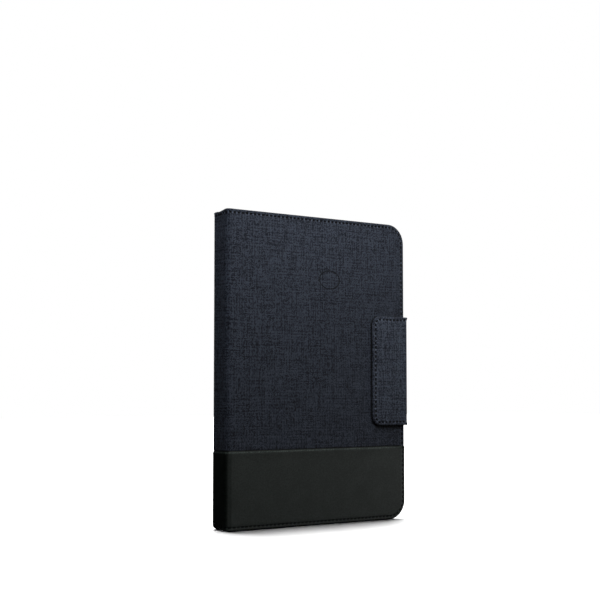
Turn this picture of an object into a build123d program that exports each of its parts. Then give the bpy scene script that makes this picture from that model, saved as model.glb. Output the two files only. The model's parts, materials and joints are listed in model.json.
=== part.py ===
from build123d import *
import os

# A folio keyboard case for a tablet, standing closed on its short edge.
# +Z is up, the spine is at -X, the open edge at +X, and the front cover faces -Y.
# All lengths are in millimetres. Depths are counted inwards from the face that carries the piece.

# Closed case without its closure tab
body_width = 192.0
body_height = 270.0
body_depth = 25.5
corner_radius = 17.5
band_height = 66.4

# Laminate of the covers and the spine
skin = 0.6
board = 2.0
lining = 0.6
lining_inset = 1.6
spine_board_inset = 4.6

# Living hinges along the spine
fold_radius = 5.0
fold_thickness = 1.2
fold_gap = 0.35

# Closure tab
tab_height = 99.3
tab_flap_width = 41.0
tab_corner = 8.5
tab_gap = 0.4
tab_skin = 0.6
tab_core = 0.8
tab_fold = 2.6
tab_root_width = 36.0
magnet_radius = 5.0
magnet_spacing = 58.0
magnet_from_end = 15.0
catch_size = 16.0
catch_depth = 0.5

# Kickstand leg in the back cover
leg_free_x = -72.0
leg_hinge_x = 20.0
leg_low_z = 75.0
leg_height = 120.0
leg_corner = 6.0
leg_gap = 0.5
leg_hinge_gap = 0.2
leg_notch_radius = 8.0

# Tablet holder on the back cover's lining
holder_left = -90.0
holder_right = 34.0
holder_centre_z = 135.0
holder_width = 150.0
holder_corner = 5.0
holder_floor = 0.8
rail_web = 2.0
rail_lip = 4.0
rail_lip_depth = 0.6
rail_left = -70.0
holder_height = 3.4
slide_clearance = 0.1
side_clearance = 0.3
carriage_left = -30.0
carriage_right = 41.0
lightening_length = 40.0
lightening_width = 16.0
clip_height = 12.8
clip_wall = 2.0
clip_lip = 3.0
clip_lip_depth = 1.0
clip_width = 30.0
clip_spacing = 80.0
clip_fixed_x = -89.0
band_width = 8.0
band_thickness = 1.0
band_spacing = 70.0
post_width = 4.0
post_from_clip = 1.0
post_height = 1.2
holder_screw_x = (-80.0, 26.0)
holder_screw_spacing = 130.0
holder_screw_radius = 0.9
holder_head_radius = 2.0
holder_head_depth = 0.5
holder_screw_length = 3.0
screw_clearance = 0.05

# Keyboard in the front cover
keyboard_length = 252.0
keyboard_width = 118.0
keyboard_edge = 8.0
keyboard_corner = 6.0
tray_floor = 1.0
tray_wall = 1.2
tray_height = 3.4
top_thickness = 1.2
surround_width = 5.6
surround_height = 1.2
surround_gap = 0.2
key_pitch = 16.4
function_pitch = 10.2
key_margin = 3.0
key_space = 2.4
key_clearance = 0.4
key_bottom = 3.7
key_top = 6.0
key_chamfer = 0.35
stem_size = 2.4
membrane_gap = 0.05
membrane_thickness = 0.6
dome_sheet_thickness = 0.3
dome_base_radius = 2.2
dome_top_radius = 1.4
dome_top = 3.3
strip_centre = 12.0
strip_part_width = 12.0
battery_length = 90.0
battery_height = 2.1
battery_offset = -52.0
circuit_length = 70.0
circuit_thickness = 0.8
circuit_offset = 62.0
port_length = 6.0
port_width = 9.0
port_height = 2.2
port_rim = 0.4
switch_offset = 84.0
switch_slot = (3.2, 9.0)
switch_knob = (2.6, 5.4)
switch_bottom = 2.2
switch_top = 5.2
switch_travel = 3.0
button_offset = 66.0
button_radius = 2.2
button_bottom = 2.6
button_top = 5.0
light_offsets = (44.0, 49.0, 54.0)
light_radius = 0.8
keyboard_screw_radius = 0.7
keyboard_head_radius = 1.6
keyboard_head_depth = 0.7
keyboard_screw_length = 4.2
boss_radius = 2.2
boss_from_wall = 1.0

# Rows of keys from the spine side: name, widths in key pitches, and the keys with a node of their own
key_rows = (
    ("function_keys", [1] * 15, {}),
    ("number_keys", [1] * 13 + [2], {13: "backspace_key"}),
    ("upper_keys", [1.5] + [1] * 12 + [1.5], {0: "tab_key"}),
    ("home_keys", [1.75] + [1] * 11 + [2.25], {0: "caps_key", 12: "enter_key"}),
    ("lower_keys", [2.25] + [1] * 10 + [2.75], {0: "left_shift_key", 11: "right_shift_key"}),
    ("bottom_keys", [1, 1, 1, 1.25, 5.5, 1.25, 1, 1, 1, 1], {4: "space_bar"}),
)

# Derived sizes and places
cover_depth = skin + board + lining
tab_thickness = 2 * tab_skin + tab_core
tab_proud = tab_gap + tab_thickness
total_width = body_width + tab_proud
total_depth = body_depth + 2 * tab_proud
x_left = -total_width / 2
x_right = x_left + body_width
x_tab = total_width / 2
y_front = -body_depth / 2
y_back = body_depth / 2
cover_left = x_left + fold_radius + fold_gap
spine_width = body_depth - 2 * fold_radius
x_tab_fold = x_tab - tab_fold
tab_low_z = (body_height - tab_height) / 2
flap_free_x = x_tab - tab_flap_width
flap_right_x = x_tab_fold - fold_gap
magnet_x = flap_free_x + magnet_from_end
lining_face = y_front + cover_depth
holder_face = y_back - cover_depth
keyboard_right = x_right - keyboard_edge
keyboard_left = keyboard_right - keyboard_width
keyboard_top_z = (body_height + keyboard_length) / 2
keys_bottom_x = keyboard_right - key_margin
keys_top_z = (body_height + sum(key_rows[0][1]) * key_pitch) / 2
row_heights = [function_pitch] + [key_pitch] * (len(key_rows) - 1)
keys_top_x = keys_bottom_x - sum(row_heights)
strip_x = keyboard_left + strip_centre
membrane_top = tray_floor + membrane_gap + membrane_thickness
FRONT, BACK = (y_front, 1), (y_back, -1)
ON_FRONT_LINING, ON_BACK_LINING = (lining_face, 1), (holder_face, -1)


def slab(face, start, stop):
    """The plane and thickness of a layer between two depths, to be sketched as (X, Z) and extruded."""
    place, inwards = face
    low, high = sorted((place + inwards * start, place + inwards * stop))
    return Plane.XZ.offset(-high), high - low


def finish(piece, label):
    """Labels a finished piece and writes it."""
    piece.part.label = label
    export_step(piece.part, f"parts/{label}.step")


def rectangle_between(x_low, x_high, z_low, z_high, mode=Mode.ADD):
    """A rectangle in the open sketch, by its sides."""
    with Locations(((x_low + x_high) / 2, (z_low + z_high) / 2)):
        Rectangle(x_high - x_low, z_high - z_low, mode=mode)


def cover_outline(inset):
    """A cover's outline in the open sketch, drawn in from its three free edges."""
    rectangle_between(cover_left, x_right - inset, inset, body_height - inset)
    fillet(vertices().group_by(Axis.X)[-1], corner_radius - inset)


def leg_outline(inset):
    """The kickstand's outline in the open sketch, rounded at its free end."""
    rectangle_between(
        leg_free_x + inset,
        leg_hinge_x,
        leg_low_z + inset,
        leg_low_z + leg_height - inset,
    )
    fillet(vertices().group_by(Axis.X)[0], leg_corner - inset)


def flap_outline(inset):
    """The tab flap's outline in the open sketch, rounded at its free end."""
    rectangle_between(
        flap_free_x + inset,
        flap_right_x,
        tab_low_z + inset,
        tab_low_z + tab_height - inset,
    )
    fillet(vertices().group_by(Axis.X)[0], tab_corner - inset)


def root_outline(inset):
    """The sewn root of the tab on the back cover, in the open sketch."""
    rectangle_between(
        x_tab_fold - tab_root_width + inset,
        flap_right_x,
        tab_low_z + inset,
        tab_low_z + tab_height - inset,
    )
    fillet(vertices().group_by(Axis.X)[0], tab_corner - inset)


def make_layer(label, face, start, stop, outline, inset=0.0):
    """One flat layer of a laminate."""
    plane, thickness = slab(face, start, stop)
    with BuildPart() as piece:
        with BuildSketch(plane):
            outline(inset)
        extrude(amount=thickness)
    finish(piece, label)


# Covers: each skin is turned in round the free edges of its board


def make_cover_skin(label, face, z_low, z_high, has_window):
    whole, whole_depth = slab(face, 0, skin + board)
    core, core_depth = slab(face, skin, skin + board)
    with BuildPart() as piece:
        with BuildSketch(whole):
            cover_outline(0)
        extrude(amount=whole_depth)
        with BuildSketch(core):
            cover_outline(skin)
        extrude(amount=core_depth, mode=Mode.SUBTRACT)
        with BuildSketch(whole):
            rectangle_between(cover_left, x_right, z_low, z_high)
        extrude(amount=whole_depth, mode=Mode.INTERSECT)
        if has_window:
            with BuildSketch(whole):
                leg_outline(0)
            extrude(amount=whole_depth, mode=Mode.SUBTRACT)
    finish(piece, label)


make_cover_skin("front_fabric", FRONT, band_height, body_height, False)
make_cover_skin("front_leather", FRONT, 0, band_height, False)
make_cover_skin("back_fabric", BACK, band_height, body_height, True)
make_cover_skin("back_leather", BACK, 0, band_height, False)

magnet_places = [
    (magnet_x, body_height / 2 + side * magnet_spacing / 2) for side in (-1, 1)
]
holder_screw_places = [
    (x, holder_centre_z + side * holder_screw_spacing / 2)
    for x in holder_screw_x
    for side in (-1, 1)
]

front_board_plane, front_board_depth = slab(FRONT, skin, skin + board)
catch_plane, catch_thickness = slab(FRONT, skin, skin + catch_depth)
with BuildPart() as front_board:
    with BuildSketch(front_board_plane):
        cover_outline(skin)
    extrude(amount=front_board_depth)
    with BuildSketch(catch_plane):
        with Locations(magnet_places):
            Rectangle(catch_size, catch_size)
    extrude(amount=catch_thickness, mode=Mode.SUBTRACT)
finish(front_board, "front_board")

with BuildPart() as catch_plates:
    with BuildSketch(catch_plane):
        with Locations(magnet_places):
            Rectangle(catch_size, catch_size)
    extrude(amount=catch_thickness)
finish(catch_plates, "catch_plates")

back_board_plane, back_board_depth = slab(BACK, skin, skin + board)
pilot_plane, pilot_depth = slab(ON_BACK_LINING, 0, holder_head_depth - holder_screw_length)
with BuildPart() as back_board:
    with BuildSketch(back_board_plane):
        cover_outline(skin)
    extrude(amount=back_board_depth)
    with BuildSketch(back_board_plane):
        leg_outline(0)
    extrude(amount=back_board_depth, mode=Mode.SUBTRACT)
    with BuildSketch(pilot_plane):
        with Locations(holder_screw_places):
            Circle(holder_screw_radius + screw_clearance)
    extrude(amount=pilot_depth, mode=Mode.SUBTRACT)
finish(back_board, "back_board")

make_layer("front_lining", FRONT, skin + board, cover_depth, cover_outline, lining_inset)

back_lining_plane, back_lining_depth = slab(BACK, skin + board, cover_depth)
with BuildPart() as back_lining:
    with BuildSketch(back_lining_plane):
        cover_outline(lining_inset)
        with Locations(holder_screw_places):
            Circle(holder_screw_radius + screw_clearance, mode=Mode.SUBTRACT)
    extrude(amount=back_lining_depth)
finish(back_lining, "back_lining")


# Spine and its two folds


def make_spine_layer(label, start, stop, z_low, z_high):
    with BuildPart() as piece:
        with BuildSketch(Plane.XY.offset(z_low)):
            rectangle_between(
                x_left + start, x_left + stop, -spine_width / 2, spine_width / 2
            )
        extrude(amount=z_high - z_low)
    finish(piece, label)


def make_spine_skin(label, z_low, z_high, core_low, core_high):
    """The outer skin, turned in over the end of the spine's board."""
    with BuildPart() as piece:
        with BuildSketch(Plane.XY.offset(z_low)):
            rectangle_between(
                x_left, x_left + skin + board, -spine_width / 2, spine_width / 2
            )
        extrude(amount=z_high - z_low)
        with BuildSketch(Plane.XY.offset(core_low)):
            rectangle_between(
                x_left + skin, x_left + skin + board, -spine_width / 2, spine_width / 2
            )
        extrude(amount=core_high - core_low, mode=Mode.SUBTRACT)
    finish(piece, label)


def make_fold(label, side, z_low, z_high):
    """A quarter of a tube, between the spine and the cover on that side in Y."""
    with BuildPart() as piece:
        with BuildSketch(Plane.XY.offset(z_low)):
            RectangleRounded(2 * abs(x_left), body_depth, fold_radius)
            RectangleRounded(
                2 * (abs(x_left) - fold_thickness),
                body_depth - 2 * fold_thickness,
                fold_radius - fold_thickness,
                mode=Mode.SUBTRACT,
            )
            y_low, y_high = sorted((side * spine_width / 2, side * body_depth / 2))
            rectangle_between(
                x_left, x_left + fold_radius, y_low, y_high, mode=Mode.INTERSECT
            )
        extrude(amount=z_high - z_low)
    finish(piece, label)


make_spine_skin("spine_fabric", band_height, body_height, band_height, body_height - skin)
make_spine_skin("spine_leather", 0, band_height, skin, band_height)
make_spine_layer(
    "spine_board", skin, skin + board, spine_board_inset, body_height - spine_board_inset
)
make_spine_layer(
    "spine_lining", skin + board, cover_depth, lining_inset, body_height - lining_inset
)
for side_name, side in (("front", -1), ("back", 1)):
    make_fold(f"{side_name}_fold_fabric", side, band_height, body_height)
    make_fold(f"{side_name}_fold_leather", side, 0, band_height)


# Closure tab: root sewn on the back cover, side strip round the open edge, flap on the front cover


def make_tab_side_layer(label, start, stop):
    """A layer of the side strip with its two quarter folds, between two depths from the outside."""
    with BuildPart() as piece:
        with BuildSketch(Plane.XY.offset(tab_low_z)):
            RectangleRounded(
                total_width - 2 * start, total_depth - 2 * start, tab_fold - start
            )
            RectangleRounded(
                total_width - 2 * stop,
                total_depth - 2 * stop,
                tab_fold - stop,
                mode=Mode.SUBTRACT,
            )
            rectangle_between(
                x_tab_fold,
                x_tab,
                -total_depth / 2,
                total_depth / 2,
                mode=Mode.INTERSECT,
            )
        extrude(amount=tab_height)
    finish(piece, label)


make_tab_side_layer("tab_side_skin", 0, tab_skin)
make_tab_side_layer("tab_side_lining", tab_skin + tab_core, tab_thickness)

side_core_half = total_depth / 2 - tab_fold
with BuildPart() as tab_side_stiffener:
    with BuildSketch(Plane.XY.offset(tab_low_z + tab_skin)):
        rectangle_between(
            x_tab - tab_skin - tab_core, x_tab - tab_skin, -side_core_half, side_core_half
        )
    extrude(amount=tab_height - 2 * tab_skin)
finish(tab_side_stiffener, "tab_side_stiffener")

FLAP = (-total_depth / 2, 1)
ROOT = (total_depth / 2, -1)
flap_skin_plane, flap_skin_depth = slab(FLAP, 0, tab_skin + tab_core)
flap_core_plane, flap_core_depth = slab(FLAP, tab_skin, tab_skin + tab_core)
with BuildPart() as tab_flap_skin:
    with BuildSketch(flap_skin_plane):
        flap_outline(0)
    extrude(amount=flap_skin_depth)
    with BuildSketch(flap_core_plane):
        flap_outline(tab_skin)
    extrude(amount=flap_core_depth, mode=Mode.SUBTRACT)
finish(tab_flap_skin, "tab_flap_skin")

with BuildPart() as tab_flap_stiffener:
    with BuildSketch(flap_core_plane):
        flap_outline(tab_skin)
        with Locations(magnet_places):
            Circle(magnet_radius, mode=Mode.SUBTRACT)
    extrude(amount=flap_core_depth)
finish(tab_flap_stiffener, "tab_flap_stiffener")

with BuildPart() as tab_magnets:
    with BuildSketch(flap_core_plane):
        with Locations(magnet_places):
            Circle(magnet_radius)
    extrude(amount=flap_core_depth)
finish(tab_magnets, "tab_magnets")

make_layer("tab_flap_lining", FLAP, tab_skin + tab_core, tab_thickness, flap_outline)

root_skin_plane, root_skin_depth = slab(ROOT, 0, tab_proud)
root_core_plane, root_core_depth = slab(ROOT, tab_skin, tab_proud)
with BuildPart() as tab_root_skin:
    with BuildSketch(root_skin_plane):
        root_outline(0)
    extrude(amount=root_skin_depth)
    with BuildSketch(root_core_plane):
        root_outline(tab_skin)
    extrude(amount=root_core_depth, mode=Mode.SUBTRACT)
finish(tab_root_skin, "tab_root_skin")
make_layer("tab_root_pad", ROOT, tab_skin, tab_proud, root_outline, tab_skin)


# Kickstand leg, lying in the window of the back cover


def leg_shape(inset):
    """The leg in its window, with a half-moon finger notch in its free edge."""
    rectangle_between(
        leg_free_x + leg_gap + inset,
        leg_hinge_x - leg_hinge_gap,
        leg_low_z + leg_gap + inset,
        leg_low_z + leg_height - leg_gap - inset,
    )
    fillet(vertices().group_by(Axis.X)[0], leg_corner - leg_gap - inset)
    with Locations((leg_free_x + leg_gap, leg_low_z + leg_height / 2)):
        Circle(leg_notch_radius + inset, mode=Mode.SUBTRACT)


leg_plane, leg_depth = slab(BACK, 0, skin + board)
leg_core_plane, leg_core_depth = slab(BACK, skin, skin + board)
with BuildPart() as kickstand_fabric:
    with BuildSketch(leg_plane):
        leg_shape(0)
    extrude(amount=leg_depth)
    with BuildSketch(leg_core_plane):
        leg_shape(skin)
    extrude(amount=leg_core_depth, mode=Mode.SUBTRACT)
finish(kickstand_fabric, "kickstand_fabric")
make_layer("kickstand_board", BACK, skin, skin + board, leg_shape, skin)


# Tablet holder: base, rails and fixed clips on the back cover, and the sprung carriage

holder_low_z = holder_centre_z - holder_width / 2
holder_high_z = holder_centre_z + holder_width / 2
rail_wall = holder_width / 2 - rail_web
post_x = clip_fixed_x + clip_wall + post_from_clip
band_places_z = [holder_centre_z + side * band_spacing / 2 for side in (-1, 1)]
clip_places_z = [holder_centre_z + side * clip_spacing / 2 for side in (-1, 1)]

base_plane, base_depth = slab(ON_BACK_LINING, 0, holder_floor)
head_plane, head_depth = slab(
    ON_BACK_LINING, holder_floor - holder_head_depth, holder_floor
)
post_plane, post_depth = slab(ON_BACK_LINING, holder_floor, holder_floor + post_height)
with BuildPart() as holder_base:
    with BuildSketch(base_plane):
        rectangle_between(holder_left, holder_right, holder_low_z, holder_high_z)
        fillet(vertices(), holder_corner)
        with Locations(holder_screw_places):
            Circle(holder_screw_radius + screw_clearance, mode=Mode.SUBTRACT)
    extrude(amount=base_depth)
    with BuildSketch(head_plane):
        with Locations(holder_screw_places):
            Circle(holder_head_radius + screw_clearance)
    extrude(amount=head_depth, mode=Mode.SUBTRACT)
    with BuildSketch(post_plane):
        for z in band_places_z:
            rectangle_between(
                post_x, post_x + post_width, z - band_width / 2, z + band_width / 2
            )
    extrude(amount=post_depth)
finish(holder_base, "holder_base")

shank_plane, shank_depth = slab(
    ON_BACK_LINING, holder_floor - holder_screw_length, holder_floor
)
with BuildPart() as holder_screws:
    with BuildSketch(head_plane):
        with Locations(holder_screw_places):
            Circle(holder_head_radius)
    extrude(amount=head_depth)
    with BuildSketch(shank_plane):
        with Locations(holder_screw_places):
            Circle(holder_screw_radius)
    extrude(amount=shank_depth)
finish(holder_screws, "holder_screws")

web_plane, web_depth = slab(ON_BACK_LINING, holder_floor, holder_height)
lip_plane, lip_depth = slab(
    ON_BACK_LINING, holder_height - rail_lip_depth, holder_height
)
with BuildPart() as guide_rails:
    for plane, depth, reach in (
        (web_plane, web_depth, rail_web),
        (lip_plane, lip_depth, rail_web + rail_lip),
    ):
        with BuildSketch(plane):
            rectangle_between(rail_left, holder_right, holder_low_z, holder_low_z + reach)
            rectangle_between(rail_left, holder_right, holder_high_z - reach, holder_high_z)
        extrude(amount=depth)
finish(guide_rails, "guide_rails")


def make_clips(label, wall_x, lip_towards, start):
    """A pair of clips: a wall from the holder and a lip that laps the tablet's edge."""
    wall_plane, wall_depth = slab(ON_BACK_LINING, start, clip_height)
    lip_at, lip_thickness = slab(
        ON_BACK_LINING, clip_height - clip_lip_depth, clip_height
    )
    lip_low, lip_high = sorted((wall_x, wall_x + lip_towards * (clip_wall + clip_lip)))
    wall_low, wall_high = sorted((wall_x, wall_x + lip_towards * clip_wall))
    with BuildPart() as piece:
        with BuildSketch(wall_plane):
            for z in clip_places_z:
                rectangle_between(
                    wall_low, wall_high, z - clip_width / 2, z + clip_width / 2
                )
        extrude(amount=wall_depth)
        with BuildSketch(lip_at):
            for z in clip_places_z:
                rectangle_between(
                    lip_low, lip_high, z - clip_width / 2, z + clip_width / 2
                )
        extrude(amount=lip_thickness)
    finish(piece, label)


carriage_start = holder_floor + slide_clearance
carriage_stop = holder_height - rail_lip_depth - slide_clearance
make_clips("fixed_clips", clip_fixed_x, 1, holder_floor)
make_clips("carriage_clips", carriage_right + clip_wall, -1, carriage_start)

carriage_plane, carriage_depth = slab(ON_BACK_LINING, carriage_start, carriage_stop)
carriage_half = rail_wall - side_clearance
with BuildPart() as carriage_plate:
    with BuildSketch(carriage_plane):
        rectangle_between(
            carriage_left,
            carriage_right,
            holder_centre_z - carriage_half,
            holder_centre_z + carriage_half,
        )
        with Locations(
            [((carriage_left + carriage_right) / 2, z) for z in clip_places_z]
        ):
            SlotOverall(lightening_length, lightening_width, mode=Mode.SUBTRACT)
    extrude(amount=carriage_depth)
finish(carriage_plate, "carriage_plate")

elastic_start = holder_floor + post_height - band_thickness
elastic_plane, elastic_depth = slab(
    ON_BACK_LINING, elastic_start, elastic_start + band_thickness
)
with BuildPart() as elastic_bands:
    with BuildSketch(elastic_plane):
        for z in band_places_z:
            rectangle_between(
                post_x + post_width,
                carriage_left,
                z - band_width / 2,
                z + band_width / 2,
            )
    extrude(amount=elastic_depth)
finish(elastic_bands, "elastic_bands")


# Keyboard: tray, top plate and what lies between them


def keyboard_outline(inset):
    """The keyboard's outline in the open sketch."""
    rectangle_between(
        keyboard_left + inset,
        keyboard_right - inset,
        keyboard_top_z - keyboard_length + inset,
        keyboard_top_z - inset,
    )
    fillet(vertices(), keyboard_corner - inset)


def along_strip(offset):
    """A place on the strip above the keys, counted from the keyboard's middle towards its right end."""
    return strip_x, body_height / 2 - offset


def key_places():
    """For each node of keys, the centre and size of each key as ((x, z), (x size, z size))."""
    places = {}
    x = keys_top_x
    for (row_name, widths, own_nodes), height in zip(key_rows, row_heights):
        z = keys_top_z
        for index, width in enumerate(widths):
            length = width * key_pitch
            centre = (x + height / 2, z - length / 2)
            size = (height - key_space, length - key_space)
            node = own_nodes.get(index, row_name)
            places.setdefault(node, []).append((centre, size))
            z -= length
        x += height
    return places


keys_by_node = key_places()
every_key = [key for keys in keys_by_node.values() for key in keys]
boss_inset = tray_wall + boss_from_wall + boss_radius
boss_reach = keyboard_length / 2 - boss_inset
boss_places = [
    (keyboard_left + boss_inset, body_height / 2 + reach)
    for reach in (-boss_reach, 0, boss_reach)
]

tray_plane, tray_depth = slab(ON_FRONT_LINING, 0, tray_height)
tray_inside, tray_inside_depth = slab(ON_FRONT_LINING, tray_floor, tray_height)
screw_head_plane, screw_head_depth = slab(ON_FRONT_LINING, 0, keyboard_head_depth)
port_plane, port_depth = slab(ON_FRONT_LINING, tray_floor, tray_floor + port_height)
with BuildPart() as keyboard_base:
    with BuildSketch(tray_plane):
        keyboard_outline(0)
    extrude(amount=tray_depth)
    with BuildSketch(tray_inside):
        keyboard_outline(tray_wall)
    extrude(amount=tray_inside_depth, mode=Mode.SUBTRACT)
    with BuildSketch(tray_inside):
        with Locations(boss_places):
            Circle(boss_radius)
    extrude(amount=tray_inside_depth)
    with BuildSketch(tray_plane):
        with Locations(boss_places):
            Circle(keyboard_screw_radius + screw_clearance)
    extrude(amount=tray_depth, mode=Mode.SUBTRACT)
    with BuildSketch(screw_head_plane):
        with Locations(boss_places):
            Circle(keyboard_head_radius + screw_clearance)
    extrude(amount=screw_head_depth, mode=Mode.SUBTRACT)
    with BuildSketch(port_plane):
        rectangle_between(
            strip_x - port_width / 2,
            strip_x + port_width / 2,
            keyboard_top_z - tray_wall,
            keyboard_top_z,
        )
    extrude(amount=port_depth, mode=Mode.SUBTRACT)
finish(keyboard_base, "keyboard_base")

screw_plane, screw_depth = slab(ON_FRONT_LINING, 0, keyboard_screw_length)
with BuildPart() as keyboard_screws:
    with BuildSketch(screw_head_plane):
        with Locations(boss_places):
            Circle(keyboard_head_radius)
    extrude(amount=screw_head_depth)
    with BuildSketch(screw_plane):
        with Locations(boss_places):
            Circle(keyboard_screw_radius)
    extrude(amount=screw_depth)
finish(keyboard_screws, "keyboard_screws")

top_plane, top_depth = slab(ON_FRONT_LINING, tray_height, tray_height + top_thickness)
blind_plane, blind_depth = slab(
    ON_FRONT_LINING, tray_height, keyboard_screw_length + screw_clearance
)
with BuildPart() as keyboard_top:
    with BuildSketch(top_plane):
        keyboard_outline(0)
        for centre, (x_size, z_size) in every_key:
            with Locations(centre):
                Rectangle(
                    x_size + 2 * key_clearance,
                    z_size + 2 * key_clearance,
                    mode=Mode.SUBTRACT,
                )
        with Locations(along_strip(switch_offset)):
            Rectangle(*switch_slot, mode=Mode.SUBTRACT)
        with Locations(along_strip(button_offset)):
            Circle(button_radius + slide_clearance, mode=Mode.SUBTRACT)
        with Locations([along_strip(offset) for offset in light_offsets]):
            Circle(light_radius, mode=Mode.SUBTRACT)
    extrude(amount=top_depth)
    with BuildSketch(blind_plane):
        with Locations(boss_places):
            Circle(keyboard_screw_radius + screw_clearance)
    extrude(amount=blind_depth, mode=Mode.SUBTRACT)
finish(keyboard_top, "keyboard_top")

surround_plane, surround_depth = slab(ON_FRONT_LINING, 0, surround_height)
with BuildPart() as keyboard_surround:
    with BuildSketch(surround_plane):
        rectangle_between(
            keyboard_left - surround_width,
            keyboard_right + surround_width,
            keyboard_top_z - keyboard_length - surround_width,
            keyboard_top_z + surround_width,
        )
        fillet(vertices(), keyboard_corner + surround_width)
        rectangle_between(
            strip_x - port_width / 2,
            strip_x + port_width / 2,
            keyboard_top_z,
            keyboard_top_z + surround_width,
            mode=Mode.SUBTRACT,
        )
    extrude(amount=surround_depth)
    with BuildSketch(surround_plane):
        keyboard_outline(-surround_gap)
    extrude(amount=surround_depth, mode=Mode.SUBTRACT)
finish(keyboard_surround, "keyboard_surround")


def key_area(inset):
    """The field under the keys, in the open sketch."""
    rectangle_between(
        keys_top_x + inset,
        keys_bottom_x - inset,
        body_height - keys_top_z + inset,
        keys_top_z - inset,
    )


make_layer(
    "key_membrane", ON_FRONT_LINING, membrane_top - membrane_thickness, membrane_top, key_area
)

dome_plane, dome_depth = slab(
    ON_FRONT_LINING, membrane_top, membrane_top + dome_sheet_thickness
)
cone_height = dome_top - membrane_top - dome_sheet_thickness
cone_base = lining_face + membrane_top + dome_sheet_thickness
with BuildPart() as dome_sheet:
    with BuildSketch(dome_plane):
        key_area(0)
    extrude(amount=dome_depth)
    with Locations(
        [Plane(origin=(x, cone_base, z), z_dir=(0, 1, 0)) for (x, z), _ in every_key]
    ):
        Cone(
            dome_base_radius,
            dome_top_radius,
            cone_height,
            align=(Align.CENTER, Align.CENTER, Align.MIN),
        )
finish(dome_sheet, "dome_sheet")


def make_strip_part(label, offset, length, bottom, height):
    """A block inside the strip above the keys."""
    plane, depth = slab(ON_FRONT_LINING, bottom, bottom + height)
    with BuildPart() as piece:
        with BuildSketch(plane):
            with Locations(along_strip(offset)):
                Rectangle(strip_part_width, length)
        extrude(amount=depth)
    finish(piece, label)


inside_floor = tray_floor + membrane_gap
make_strip_part("battery", battery_offset, battery_length, inside_floor, battery_height)
make_strip_part(
    "circuit_board", circuit_offset, circuit_length, inside_floor, circuit_thickness
)

with BuildPart() as usb_port:
    with BuildSketch(port_plane):
        rectangle_between(
            strip_x - port_width / 2,
            strip_x + port_width / 2,
            keyboard_top_z - port_length,
            keyboard_top_z,
        )
    extrude(amount=port_depth)
    socket_plane, socket_depth = slab(
        ON_FRONT_LINING, tray_floor + port_rim, tray_floor + port_height - port_rim
    )
    with BuildSketch(socket_plane):
        rectangle_between(
            strip_x - port_width / 2 + port_rim,
            strip_x + port_width / 2 - port_rim,
            keyboard_top_z - port_length + port_rim,
            keyboard_top_z,
        )
    extrude(amount=socket_depth, mode=Mode.SUBTRACT)
finish(usb_port, "usb_port")

light_plane, light_depth = slab(
    ON_FRONT_LINING, inside_floor + circuit_thickness, tray_height + top_thickness
)
with BuildPart() as status_lights:
    with BuildSketch(light_plane):
        with Locations([along_strip(offset) for offset in light_offsets]):
            Circle(light_radius - screw_clearance)
    extrude(amount=light_depth)
finish(status_lights, "status_lights")

knob_plane, knob_depth = slab(ON_FRONT_LINING, switch_bottom, switch_top)
with BuildPart() as power_switch:
    with BuildSketch(knob_plane):
        with Locations(along_strip(switch_offset - switch_travel / 2)):
            Rectangle(*switch_knob)
    extrude(amount=knob_depth)
    chamfer(edges().group_by(Axis.Y)[-1], key_chamfer)
finish(power_switch, "power_switch")

button_plane, button_depth = slab(ON_FRONT_LINING, button_bottom, button_top)
with BuildPart() as pair_button:
    with BuildSketch(button_plane):
        with Locations(along_strip(button_offset)):
            Circle(button_radius)
    extrude(amount=button_depth)
    chamfer(edges().group_by(Axis.Y)[-1], key_chamfer)
finish(pair_button, "pair_button")

stem_plane, stem_depth = slab(ON_FRONT_LINING, dome_top, key_bottom)
cap_plane, cap_depth = slab(ON_FRONT_LINING, key_bottom, key_top)
for node, keys in keys_by_node.items():
    with BuildPart() as keycaps:
        with BuildSketch(cap_plane):
            for centre, (x_size, z_size) in keys:
                with Locations(centre):
                    Rectangle(x_size, z_size)
        extrude(amount=cap_depth)
        chamfer(edges().group_by(Axis.Y)[-1], key_chamfer)
        with BuildSketch(stem_plane):
            with Locations([centre for centre, _ in keys]):
                Rectangle(stem_size, stem_size)
        extrude(amount=stem_depth)
    finish(keycaps, node)
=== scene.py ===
import json
import math
import random

import bmesh
import bpy
import numpy as np
from mathutils import Matrix, Vector
from mathutils.geometry import delaunay_2d_cdt


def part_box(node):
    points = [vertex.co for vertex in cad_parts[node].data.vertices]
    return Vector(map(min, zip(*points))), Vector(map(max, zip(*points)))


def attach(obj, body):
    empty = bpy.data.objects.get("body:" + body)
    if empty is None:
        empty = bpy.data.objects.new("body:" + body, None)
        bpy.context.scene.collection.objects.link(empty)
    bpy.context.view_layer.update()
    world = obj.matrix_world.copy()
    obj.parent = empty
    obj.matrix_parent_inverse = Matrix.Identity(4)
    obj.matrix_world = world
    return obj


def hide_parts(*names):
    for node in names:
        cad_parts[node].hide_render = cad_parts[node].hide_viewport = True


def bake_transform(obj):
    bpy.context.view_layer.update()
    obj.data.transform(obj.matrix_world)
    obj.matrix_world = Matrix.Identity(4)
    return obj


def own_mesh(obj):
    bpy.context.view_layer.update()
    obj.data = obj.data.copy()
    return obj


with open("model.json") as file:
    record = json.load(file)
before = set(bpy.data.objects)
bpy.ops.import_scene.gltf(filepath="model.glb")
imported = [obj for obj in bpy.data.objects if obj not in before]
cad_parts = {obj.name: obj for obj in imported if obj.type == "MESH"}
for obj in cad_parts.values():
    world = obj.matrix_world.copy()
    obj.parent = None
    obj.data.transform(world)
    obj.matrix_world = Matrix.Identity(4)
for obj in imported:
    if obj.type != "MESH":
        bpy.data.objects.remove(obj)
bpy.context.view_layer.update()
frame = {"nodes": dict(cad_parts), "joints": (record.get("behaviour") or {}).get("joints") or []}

# Shapes are worked out in millimetres in the frame's axes, and change to metres as a mesh is made.
# +Z is up, the spine is at -X, the open edge at +X, and the front cover faces -Y.
MM = 0.001


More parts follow.
